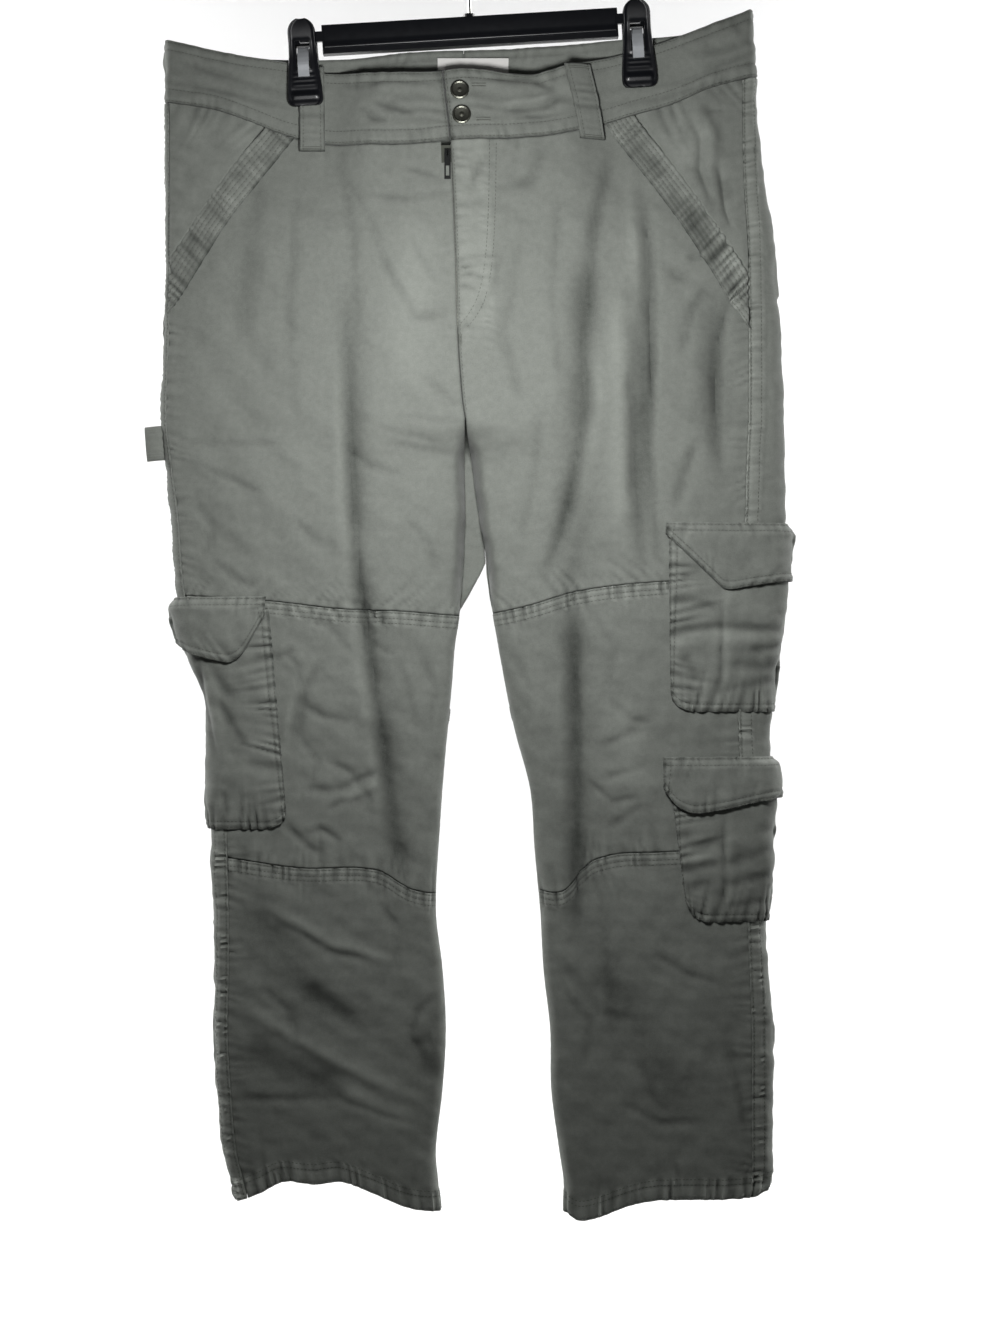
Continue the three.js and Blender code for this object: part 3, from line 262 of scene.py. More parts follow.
# Columns: half width, how far out, the line's points. The first rows are the form's main folds.
FRONT_FOLDS = (
    (13, -4.5, (-104, -330), (-96, -571)), (12, -5, (-96, -571), (-76, -689)),
    (13, -5.5, (-76, -689), (-57, -870)), (14, -5, (112, -300), (104, -470)),
    (15, -5.5, (104, -470), (93, -600)), (14, -6, (95, -600), (100, -900)), (9, -5, (160, -300), (160, -560)),
    (10, 3, (138, -330), (142, -560)), (11, -4, (222, -330), (226, -480)), (22, 2.5, (-40, -260), (-50, -420)),
    (15, -4, (-195, -880), (-120, -985)), (14, -5, (-200, -1010), (-105, -1048)),
    (15, 3.5, (-105, -1048), (-45, -1085)), (10, -5, (-42, -1000), (-22, -1040)),
    (18, -3.5, (120, -930), (200, -1070)), (16, 3, (140, -700), (160, -790)),
    (3.6, -3.6, (-103, -374), (-98, -498), (-93, -580), (-78, -688), (-70, -737), (-60, -825), (-50, -860)),
    (6.4, 3.3, (-113, -374), (-109, -498), (-104, -580), (-90, -688), (-82, -737), (-71, -825), (-60, -860)),
    (3.2, -1.8, (-250, -467), (-160, -469)), (3.2, -1.8, (-232, -490), (-178, -513)),
    (2.8, -1.5, (-75, -454), (-21, -468)), (2.8, -1.5, (-70, -468), (-12, -477)),
    (2.4, -1.2, (-57, -444), (-7, -450)), (3.6, -2, (-34, -410), (-3, -436)),
    (3.2, -2.1, (-46, -286), (-35, -306), (-24, -323)),
    (4, -3, (-75, -294), (-59, -328), (-42, -356), (-15, -353)),
    (3.2, -1.7, (-82, -245), (-48, -249), (-10, -244)), (2.8, -2, (-50, -222), (-21, -230)),
    (4.8, -3, (-124, -662), (-142, -688), (-151, -742)), (4, 2.1, (-136, -666), (-153, -698), (-161, -742)),
    (4, -2.1, (-141, -778), (-109, -778)), (3.6, -1.7, (-142, -816), (-118, -813)),
    (6.4, 3.3, (-205, -968), (-120, -1017), (-21, -1066)), (8, -3.9, (-142, -954), (-88, -994)),
    (3.2, -2.7, (-21, -958), (-40, -976), (-46, -999), (-34, -1022)),
    (2.4, -2, (-13, -972), (-26, -986), (-30, -1002), (-22, -1017)),
    (4, -2.1, (-201, -1053), (-156, -1055), (-111, -1053), (-39, -1080)),
    (4, -3.4, (108, -374), (110, -439), (93, -526), (71, -596)),
    (6.4, 2.8, (120, -374), (122, -439), (105, -528), (84, -597)),
    (3.6, -3.9, (159, -234), (166, -300), (169, -374), (170, -436)),
    (5.6, 2.8, (148, -238), (154, -302), (158, -374)), (4, -2.7, (149, -395), (154, -496), (163, -596)),
    (3.6, -3, (169, -374), (166, -482), (176, -580)), (4, -3, (232, -374), (226, -417), (230, -496)),
    (4.8, -3, (208, -467), (189, -526)), (4, -2.2, (38, -374), (51, -428)),
    (4, -3.6, (100, -615), (102, -724), (104, -818), (102, -912)),
    (7.2, 2.8, (86, -615), (88, -724), (91, -818), (89, -912)), (4, -2, (33, -634), (60, -688)),
    (4, -2, (38, -666), (62, -716)), (3.6, -1.7, (44, -698), (65, -738)), (4, -1.8, (159, -724), (123, -738)),
    (4, -1.8, (164, -756), (126, -768)), (4, -1.7, (159, -792), (128, -814)),
    (4, -3.9, (204, -169), (213, -194), (212, -222), (221, -249)),
    (4.8, 2.7, (213, -165), (224, -194), (222, -222), (231, -249)),
    (3.2, -2.7, (229, -222), (235, -261), (240, -274)), (2.4, -2.4, (217, -169), (235, -168)),
    (3.2, -2.7, (194, -171), (178, -201)), (3.2, -2.7, (165, -179), (177, -179)),
    (4.8, -2.8, (134, -199), (123, -248), (116, -302), (109, -378)),
    (2.8, -2, (165, -248), (170, -302), (174, -364)), (4, -2.7, (219, -326), (205, -349), (196, -390)),
    (3.2, -2.1, (235, -349), (230, -378)), (3.2, -2.5, (201, -303), (215, -300)),
    (4.8, -2.2, (184, -316), (204, -320)), (4.8, -2.4, (249, -315), (233, -356), (222, -410)),
    (4, -2.7, (159, -1022), (177, -1066)), (4, -2.7, (240, -1007), (256, -1089)),
    (5.6, -2.1, (123, -868), (132, -958), (141, -1040)), (3.2, -2.4, (-141, -623), (-120, -631), (-100, -654)),
    (3.2, -2.2, (-106, -608), (-87, -613), (-66, -633)), (2.8, -2.1, (-156, -657), (-145, -669), (-147, -688)),
    (3.2, -2, (-147, -729), (-130, -752), (-136, -778)), (3.2, -2.2, (-120, -752), (-100, -762), (-82, -788)),
    (3.2, -2, (-61, -657), (-48, -688), (-40, -724)), (2.8, -2, (-82, -644), (-64, -657)),
    (3.2, -2.1, (-237, -522), (-224, -544), (-231, -572)), (4, -2.1, (-223, -572), (-201, -590), (-181, -598)),
    (3.2, -2, (-102, -472), (-82, -490), (-57, -496)), (3.2, -1.8, (-147, -536), (-130, -561)),
    (2.8, -1.8, (-50, -536), (-30, -558), (-21, -585)), (4, -2, (69, -446), (64, -500), (51, -554)),
    (3.2, -2.1, (120, -626), (137, -652), (129, -688)), (3.2, -2.2, (132, -698), (150, -716), (168, -717)),
    (3.2, -2, (114, -770), (134, -788), (159, -784)), (3.2, -2.1, (51, -752), (66, -788), (62, -824)),
    (4, -2.4, (-150, -900), (-120, -922), (-82, -930)), (4, -2.2, (-181, -954), (-156, -976), (-147, -1008)),
    (4, -2.1, (87, -954), (114, -986), (111, -1022)), (4, -2.1, (168, -922), (204, -945), (231, -950)),
    (4, -2.1, (141, -1058), (177, -1076), (213, -1074)), (3.2, -2, (6, -882), (29, -904), (38, -932)),
    (3.6, -2, (-75, -878), (-57, -904), (-60, -940)), (3.2, -3.3, (-112, -779), (-98, -771), (-76, -762)),
    (3.6, 2.4, (-107, -788), (-93, -780), (-71, -771)), (3.2, -2.7, (-121, -797), (-103, -785)),
    (3.2, -2.5, (-129, -810), (-107, -825)), (3.6, -2.7, (-158, -810), (-129, -836)),
    (3.2, -2.4, (-170, -662), (-149, -652)), (3.6, -2.2, (-147, -698), (-127, -712), (-100, -716)),
    (3.2, -2.2, (-39, -652), (-24, -688), (-30, -724)), (4.8, 2.1, (-183, -878), (-120, -914), (-57, -932)),
    (4.8, -2, (87, -932), (123, -976), (159, -986)), (11.2, -2.8, (-181, -216), (-192, -302), (-198, -374)),
    (4, -2.2, (-116, -202), (-106, -238), (-98, -284), (-94, -364)),
    (3.6, -1.8, (-107, -226), (-86, -261), (-73, -292)), (4, -1.8, (-147, -230), (-156, -338), (-150, -446)),
    (3.2, -3.6, (22, -208), (12, -225), (7, -244)), (4, -1.8, (31, -242), (69, -230)),
    (3.6, -1.8, (-6, -256), (21, -251)), (5.6, -2.1, (74, -202), (62, -228), (51, -238)),
    (6.4, -2.5, (134, -212), (123, -252), (110, -302)), (3.2, -1.5, (6, -303), (33, -300)),
    (2.8, -2.7, (-2, -308), (8, -312)), (2.8, -3, (-1, -317), (10, -318), (19, -324)),
    (2.8, -2.7, (-2, -327), (12, -332)), (3.2, -1.8, (4, -364), (24, -338), (38, -292)),
    (4, -1.8, (51, -284), (44, -338), (33, -382)), (4, -1.8, (87, -238), (80, -338), (87, -410)),
    (3.2, -2.1, (-259, -123), (-210, -138), (-160, -154)),
    (3.2, -2.1, (-259, -143), (-205, -154), (-158, -166)), (2.8, -1.8, (-106, -145), (-66, -143), (-25, -147)),
    (3.6, -3.4, (-78, -163), (-62, -166), (-44, -173)), (3.6, -3.6, (-91, -167), (-80, -176), (-69, -179)),
    (2.8, -2.2, (-106, -147), (-88, -148), (-70, -145)), (3.2, -3.3, (18, -142), (62, -142), (80, -150)),
    (3.6, -3, (38, -171), (74, -166), (89, -156)), (3.2, 2.1, (38, -164), (65, -161), (80, -156)),
    (2.8, -2, (48, -177), (93, -173)), (3.2, -2.1, (123, -165), (177, -158), (249, -136)),
    (3.2, -2, (132, -150), (195, -143), (254, -120)),
)
BACK_FOLDS = (
    (16, -5, (-120, -320), (-110, -600)), (15, -5, (-108, -640), (-90, -900)),
    (16, -5, (130, -320), (128, -640)), (15, -5, (150, -690), (165, -960)), (15, -3.5, (60, -430), (150, -520)),
    (15, -3.5, (-30, -440), (-130, -520)), (16, -4, (-180, -980), (-80, -1040)),
    (16, -4, (120, -1010), (230, -1070)),
    (7, -2.4, (-132, -300), (-124, -460), (-116, -600), (-98, -760), (-84, -900)),
    (9, 2, (-116, -300), (-108, -460), (-100, -600), (-82, -760), (-70, -900)),
    (6, -2.2, (142, -310), (136, -450), (130, -600)), (9, 1.9, (158, -310), (152, -450), (147, -600)),
    (6, -2, (40, -470), (90, -500), (160, -560)), (5, -1.6, (48, -500), (100, -540), (150, -610)),
    (5, -1.8, (-20, -480), (-70, -510), (-140, -580)), (5, -1.5, (-22, -510), (-70, -550), (-120, -620)),
    (6, 1.6, (60, -455), (130, -490), (200, -520)), (6, -1.9, (90, -700), (150, -720), (230, -712)),
    (5, -1.5, (95, -745), (150, -760), (220, -770)), (5, -1.5, (-45, -690), (-110, -715), (-180, -705)),
    (5, -1.4, (-50, -735), (-110, -748), (-190, -760)), (6, -1.6, (-40, -780), (-90, -800), (-150, -790)),
    (6, -1.8, (200, -820), (170, -900), (180, -1000)), (6, -1.6, (-200, -860), (-150, -900), (-110, -990)),
    (6, -1.5, (110, -950), (160, -990), (240, -1010)), (5, -1.3, (-60, -1000), (-100, -1030), (-170, -1050)),
    (5, -1.3, (120, -1080), (180, -1095), (250, -1090)), (6, -1.6, (-220, -240), (-170, -290), (-150, -360)),
    (6, -1.6, (230, -240), (190, -290), (170, -350)), (5, -1.2, (-60, -240), (-30, -290), (-20, -350)),
    (5, -1.2, (70, -240), (40, -290), (30, -350)),
)
FOLDS = tuple(
    Fold(face, width, out, tuple(line))
    for face, rows in ((Face.FRONT, FRONT_FOLDS), (Face.BACK, BACK_FOLDS))
    for width, out, *line in rows
)


@dataclass(frozen=True)
class Pinch:
    """How the two clips press front and back together."""

    centres: tuple[float, float] = (-143, 157)
    half: float = 3.2
    flat: float = 20
    reach: float = 66
    full: float = -176
    none: float = -300

    def share(self, x: Array, z: Array) -> Array:
        """How much the cloth is pressed at each place, from 0 to 1."""
        near = np.minimum(np.abs(x - self.centres[0]), np.abs(x - self.centres[1]))
        return smooth(self.reach, self.flat, near) * smooth(self.none, self.full, z)


class LegForm:
    """The outer face of one leg and its half of the hip, at any place round the ring and any height."""

    CROTCH_TOP, CROTCH_ROUND, WEB_TOP, WEB_END, ROUND_BACK = -446, -486, -573, -617, -585

    def __init__(self, side: Side) -> None:
        """Reads the tables of one side.

        Args:
            side: the wearer's right or left leg.
        """
        self.side = side
        self.sign = -1 if side is Side.RIGHT else 1
        rows = LEG_ROWS[side]
        self.outer, self.inner, self.seam_in = (Curve([(r[0], r[k]) for r in rows]) for k in (1, 2, 3))
        front, back, self.edge = (Curve([(r[0], r[k]) for r in DEPTH_ROWS]) for k in (1, 2, 3))
        self.depth = {Face.FRONT: front, Face.BACK: back}
        self.hip = {s: Curve([(r[0], r[1]) for r in LEG_ROWS[s]]) for s in Side}
        self.pinch = Pinch()

    def inner_edge(self, face: Face, z: Array) -> Array:
        """The x of a face's inner edge: the fly or seat seam, then the inseam.

        Args:
            face: front or back.
            z: heights.

        Returns:
            Places across.
        """
        if face is Face.FRONT:
            return np.where(z > self.CROTCH_TOP, CENTRE_FRONT(z), self.inner(z))
        seat = CENTRE_BACK(z)
        t = np.clip((self.WEB_TOP - z) / (self.WEB_TOP - self.WEB_END), 0, 1)
        return np.where(z > self.WEB_TOP, seat, lerp(seat, self.inner(z), t))

    def own_share(self, face: Face, z: Array) -> Array:
        """How much a face is a leg of its own (1) or part of the whole hip (0).

        Args:
            face: front or back.
            z: heights.

        Returns:
            Shares from 0 to 1.
        """
        if face is Face.FRONT:
            return smooth(self.CROTCH_TOP, self.CROTCH_ROUND, z)
        return smooth(self.ROUND_BACK, self.WEB_END, z)

    def seam_x(self, z: Array) -> Array:
        """The x of the side seam, which lies on the front face."""
        return self.outer(z) - self.sign * self.seam_in(z)

    def half_depth(self, face: Face, x: Array, z: Array) -> Array:
        """A face's distance from the middle plane: a rounded edge, a shallow crown and the folds.

        Args:
            face: front or back.
            x: places across.
            z: heights.

        Returns:
            Millimetres from the middle plane.
        """

        def quarter(q: Array) -> Array:
            """A quarter circle's rise at a share of its run."""
            return np.where(q >= 1, 1, np.sqrt(np.maximum(0, 1 - (1 - np.clip(q, 0, 1)) ** 2)))

        edge, full = self.edge(z), self.depth[face](z)
        inner, outer = self.inner_edge(face, z), self.outer(z)
        from_outer, from_inner = quarter(np.abs(outer - x) / edge), quarter(np.abs(x - inner) / edge)
        on_leg = np.clip((x - (outer + inner) / 2) / (np.abs(outer - inner) / 2), -1, 1)
        leg = edge * from_outer * from_inner + (full - edge) * (1 - on_leg**2)
        low, high = self.hip[Side.RIGHT](z), self.hip[Side.LEFT](z)
        on_hip = np.clip((x - (low + high) / 2) / ((high - low) / 2), -1, 1)
        hip = edge * from_outer + (full - edge) * (1 - on_hip**2)
        share = self.own_share(face, z)
        calm = smooth(0, 30, np.abs(outer - x)) * lerp(1.0, smooth(0, 25, np.abs(x - inner)), share)
        folds = sum(fold.height(x, z) for fold in FOLDS if fold.face is face)
        open_ = lerp(hip, leg, share) + folds * calm
        return lerp(open_, np.minimum(open_, self.pinch.half), self.pinch.share(x, z))

    def ring(self, w: Array, z: Array) -> Array:
        """Places round the leg's ring: 0 is the front's inner edge, 1 the silhouette, 2 the back's inner edge.

        Args:
            w: places round the ring.
            z: heights.

        Returns:
            Points, with a last axis of three.
        """
        front = w <= 1
        share, inner, x = self._across(w, z)
        y = np.where(front, -self.half_depth(Face.FRONT, x, z), self.half_depth(Face.BACK, x, z))
        reach = np.maximum(self.half_depth(Face.BACK, inner, z) - HIDDEN_REACH - 2 * GAP - 0.1, -GAP)
        turned = self.own_share(Face.FRONT, z) * reach * (1 - np.sin(math.pi / 2 * np.clip(share / ROUND, 0, 1)))
        y = y + np.where(front & (share < ROUND), turned, 0)
        return np.stack(np.broadcast_arrays(x, y, z), axis=-1)

    def _across(self, w: Array, z: Array) -> tuple[Array, Array, Array]:
        """Where ring places lie across their face.

        Args:
            w: places round the ring.
            z: heights.

        Returns:
            The share of the face from its inner edge, the inner edge's x and the place's x.
        """
        front = w <= 1
        share = np.clip(np.where(front, w, 2 - w), 0, 1)
        inner = np.where(front, self.inner_edge(Face.FRONT, z), self.inner_edge(Face.BACK, z)) + self.sign * GAP
        outer, edge = self.outer(z), self.edge(z)
        toward = np.sign(outer - inner)

        def turn(q: Array) -> Array:
            """How far across a rounded edge has come at a share of its quarter turn."""
            return edge * (1 - np.cos(math.pi / 2 * q))

        middle = lerp(inner + toward * edge, outer - toward * edge, (share - ROUND) / (1 - 2 * ROUND))
        x = np.where(share < ROUND, inner + toward * turn(share / ROUND), middle)
        return share, inner, np.where(share > 1 - ROUND, outer - toward * turn((1 - share) / ROUND), x)

    def ring_x(self, w: Array, z: Array) -> Array:
        """The x of places round the leg's ring."""
        return self._across(w, z)[2]

    def face_points(self, face: Face, x: Array, z: Array) -> Array:
        """Points on one face of the hip or leg, given by x and height."""
        y = self.half_depth(face, x, z) * (-1 if face is Face.FRONT else 1)
        return np.stack(np.broadcast_arrays(x, y, z), axis=-1)

    def ring_at(self, face: Face, x: Array, z: Array) -> Array:
        """The ring place of an x on one face.

        Args:
            face: front or back.
            x: places across.
            z: heights.

        Returns:
            Places round the ring.
        """
        inner, outer, edge = self.inner_edge(face, z), self.outer(z), self.edge(z)
        from_outer, from_inner, width = np.abs(outer - x), np.abs(x - inner), np.abs(outer - inner)

        def angle(d: Array) -> Array:
            """The share of a face at a distance inside its rounded edge."""
            return np.arccos(np.clip(1 - d / edge, 0, 1)) / (math.pi / 2) * ROUND

        share = ROUND + (from_inner - edge) / (width - 2 * edge) * (1 - 2 * ROUND)
        share = np.where(from_inner < edge, angle(from_inner), share)
        share = np.where(from_outer < edge, 1 - angle(from_outer), share)
        return share if face is Face.FRONT else 2 - share

    def seam_ring(self, z: Array) -> Array:
        """The ring place of the side seam."""
        return self.ring_at(Face.FRONT, self.seam_x(z), z)


LEGS = {side: LegForm(side) for side in Side}
Line = Union[Curve, Between, dict[Face, Curve]]
Place = Callable[[Array, Array], Array]
Mask = Callable[[Array, Array], Array]
KNEE = -700.0
FLY_ROW = 27.0  # how far the fly's curved stitching lies from its edge


def dense(length: float, fine: float = 0.7, coarse: float = 3.4, growth: float = 1.14) -> Array:
    """Shares from 0 to 1 that lie close together at both ends.

    Args:
        length: what the shares span, in millimetres.
        fine: spacing at the ends.
        coarse: spacing in the middle.
        growth: how fast the spacing grows.

    Returns:
        The shares in order.
    """
    half, at, step = [0.0], 0.0, fine
    while at + step < length / 2:
        at += step
        half.append(at)
        step = min(step * growth, coarse)
    half = np.array(half) * (length / 2) / (at + step / 2)
    return np.concatenate([half, (length - half)[::-1]]) / length


def arc(points: Array, axis: int) -> Array:
    """Distances along a grid of points from its first row or column.

    Args:
        points: rows by columns by three.
        axis: 0 to go down the rows, 1 to go across.

    Returns:
        Millimetres at each point.
    """
    gaps = np.linalg.norm(np.diff(points, axis=axis), axis=-1)
    start = np.zeros_like(np.take(gaps, [0], axis=axis))
    return np.concatenate([start, np.cumsum(gaps, axis=axis)], axis=axis)


def normals(points: Array, face_sign: Array) -> Array:
    """Outward unit normals of a grid.

    Args:
        points: rows by columns by three.
        face_sign: -1 on the front and +1 on the back, at each point.

    Returns:
        Unit vectors like points.
    """
    n = np.cross(np.gradient(points, axis=1), np.gradient(points, axis=0))
    n /= np.maximum(np.linalg.norm(n, axis=-1, keepdims=True), 1e-9)
    return n if (n[..., 1] * face_sign).sum() > 0 else -n


def wander(s: Array, wavelength: float, seed: float) -> Array:
    """An uneven wave along a line, from -1 to 1, that never quite repeats.

    Args:
        s: places along the line.
        wavelength: mean distance between crests.
        seed: where the unevenness starts.

    Returns:
        The wave's value at each place.
    """
    k = 2 * math.pi / wavelength
    phase = 1.6 * np.sin(k * s / 3.7 + seed) + 1.1 * np.sin(k * s / 7.9 + 2.3 * seed)
    size = 0.78 + 0.3 * np.sin(k * s / 5.3 + 1.7 * seed)
    return np.sin(k * s + phase) * size


def pucker(s: Array, away: Array, size: float, wavelength: float, reach: float, seed: float) -> Array:
    """Short ripples that a pulled seam leaves beside it.

    Args:
        s: distance along the seam.
        away: distance from the seam.
        size: height of a ripple.
        wavelength: distance between ripples.
        reach: how far they run from the seam.
        seed: where the unevenness starts.

    Returns:
        Millimetres out.
    """
    slant = s + 0.25 * away * np.sin(s / 19.0 + seed)
    # The troughs are narrow and deep, and the ridges between them broad.
    wave = (1.2 - np.exp(-1.0 * wander(slant, wavelength, seed))) / 1.2
    length = reach * (0.95 + 0.3 * np.sin(s / 13.0 + 2 * seed) + 0.3 * np.sin(s / (0.31 * wavelength) + seed))
    return size * wave * bell(away, 0, length)


def unevenness(x: Array, z: Array, face_sign: Array) -> Array:
    """The slight waviness of washed twill: broad swells, creases of a hand's width and small ripples.

    Args:
        x: places across.
        z: heights.
        face_sign: -1 on the front and +1 on the back.

    Returns:
        Millimetres out.
    """
    total = np.zeros(np.broadcast(x, z).shape)
    rng = np.random.default_rng(5)
    for wavelength, size, count in ((95, 0.9, 5), (38, 0.62, 6), (17, 0.32, 7)):
        for _ in range(count):
            angle, phase = rng.uniform(0, math.pi), rng.uniform(0, 2 * math.pi)
            k = 2 * math.pi / (wavelength * rng.uniform(0.75, 1.3))
            run = x * math.cos(angle) + z * math.sin(angle) * 0.7
            bend = 1.3 * np.sin(run / (wavelength * 1.9) + 2 * phase)
            across = x * math.sin(angle) - z * math.cos(angle)
            total += size / math.sqrt(count) * np.sin(k * across + phase + bend + face_sign)
    return total


def new_object(name: str, vertices: Array, faces: Array, material: bpy.types.Material) -> bpy.types.Object:
    """A mesh object in the part's frame, from points in millimetres.

    Args:
        name: the piece's name.
        vertices: points in the tables' frame.
        faces: lists of vertex numbers.
        material: its finish.

    Returns:
        The object, linked to the scene and shaded smooth.
    """
    mesh = bpy.data.meshes.new(name)
    placed = (np.asarray(vertices, float) - (HOOK_X, 0, 0)) * MM
    mesh.from_pydata(placed.tolist(), [], faces if isinstance(faces, list) else faces.tolist())
    mesh.shade_smooth()
    mesh.set_sharp_from_angle(angle=SHARP_EDGE)
    mesh.materials.append(material)
    obj = bpy.data.objects.new(name, mesh)
    bpy.context.scene.collection.objects.link(obj)
    return obj


@dataclass
class Shell:
    """A thin wall of cloth: a grid of points, moved out, with a second layer inside and closed rims.

    face_sign is -1 on the front and +1 on the back, out how far the outer face stands off the points,
    mask the quads that are kept, roll the reach of the rounded rim, relief the painted light and shade that
    the cloth's colour is drawn from and way the outward unit vectors.
    """

    name: str
    points: Array
    face_sign: Array
    out: Array
    wall: float = CLOTH
    mask: Optional[Array] = None
    roll: float = 0.0
    relief: Optional[Array] = None
    way: Optional[Array] = None

    def __post_init__(self) -> None:
        """Works out the outward unit vector at each point, where it isn't given."""
        if self.way is None:
            self.way = normals(self.points, self.face_sign)

    def outer(self, extra: float = 0.0) -> Array:
        """The outer layer's points, moved out by extra millimetres more."""
        return self.points + self.way * (np.broadcast_to(self.out, self.points.shape[:2]) + extra)[..., None]

    def build(self, material: bpy.types.Material) -> bpy.types.Object:
        """Makes the closed shell, with a map of its weave and its relief as an attribute.

        Args:
            material: the cloth's finish.

        Returns:
            The piece.
        """
        rows, columns = self.points.shape[:2]
        n = self.way
        across, down = arc(self.points, 1), arc(self.points, 0)
        out = np.array(np.broadcast_to(self.out, (rows, columns)), float)
        if self.roll:
            edge = np.minimum(np.minimum(across, across[:, -1:] - across), np.minimum(down, down[-1:] - down))
            out = out - 0.75 * self.wall * (1 - np.sqrt(1 - (1 - np.clip(edge / self.roll, 0, 1)) ** 2))
        base = np.broadcast_to(self.out, (rows, columns)) - self.wall
        layers = [self.points + n * out[..., None], self.points + n * base[..., None]]
        size = rows * columns
        number = np.arange(size).reshape(rows, columns)
        a, b, c, d = number[:-1, :-1], number[1:, :-1], number[1:, 1:], number[:-1, 1:]
        keep = np.ones(a.shape, bool) if self.mask is None else self.mask
        quads = np.stack([a, b, c, d], axis=-1)[keep].reshape(-1, 4)
        inside = quads[:, ::-1] + size
        edges = np.concatenate([quads[:, [i, (i + 1) % 4]] for i in range(4)])
        keys = dict.fromkeys(map(tuple, edges.tolist()))
        rim = [(q, p, p + size, q + size) for p, q in keys if (q, p) not in keys]
        vertices = np.concatenate([layer.reshape(-1, 3) for layer in layers])
        faces = quads.tolist() + inside.tolist() + [list(r) for r in rim]
        corner = np.array(faces[0])
        p = layers[0].reshape(-1, 3)[corner]
        turned = float(np.dot(np.cross(p[1] - p[0], p[2] - p[0]), n.reshape(-1, 3)[corner[0]])) < 0
        if turned:
            faces = [f[::-1] for f in faces]
        used = np.unique(np.concatenate([np.array(f) for f in (quads.ravel(), inside.ravel())]))
        slot = -np.ones(2 * size, int)
        slot[used] = np.arange(len(used))
        obj = new_object(self.name, vertices[used], [[int(slot[i]) for i in f] for f in faces], material)
        flat = np.stack([across, down], axis=-1).reshape(-1, 2)
        relief = (np.zeros((rows, columns)) if self.relief is None else self.relief).ravel()
        self._attributes(obj.data, np.concatenate([flat, flat])[used] * MM, np.concatenate([relief, relief])[used])
        return obj

    @staticmethod
    def _attributes(mesh: bpy.types.Mesh, flat: Array, relief: Array) -> None:
        """Writes the cloth's own map and its relief, the painted light and shade that the twill's colour is drawn from.

        Args:
            mesh: the piece's mesh.
            flat: where each vertex lies on the flat cloth, in metres.
            relief: each vertex's relief in millimetres.
        """
        loops = np.zeros(len(mesh.loops), int)
        mesh.loops.foreach_get("vertex_index", loops)
        mesh.uv_layers.new(name="cloth").data.foreach_set("uv", flat[loops].ravel())
        # The relief attribute carries painted light and shade into the cloth's colour.
        values = mesh.attributes.new("relief", "FLOAT", "POINT")
        values.data.foreach_set("value", relief.astype(np.float32))


def wear(shell: Shell, finish: bpy.types.Material, node: str = "") -> None:
    """Builds a shell in place of its CAD node.

    Args:
        shell: the piece's form.
        finish: its finish.
        node: the CAD node that it stands for, where that isn't the one of its own name.
    """
    obj = shell.build(finish)
    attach(obj, BODY)
    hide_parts(node or shell.name)
    LOG.info("built %s", obj.name)


def srgb(code: str) -> tuple[float, float, float, float]:
    """A hex colour as linear red, green, blue and alpha."""
    parts = [int(code[i : i + 2], 16) / 255 for i in (0, 2, 4)]
    return tuple(c / 12.92 if c <= 0.04045 else ((c + 0.055) / 1.055) ** 2.4 for c in parts) + (1.0,)


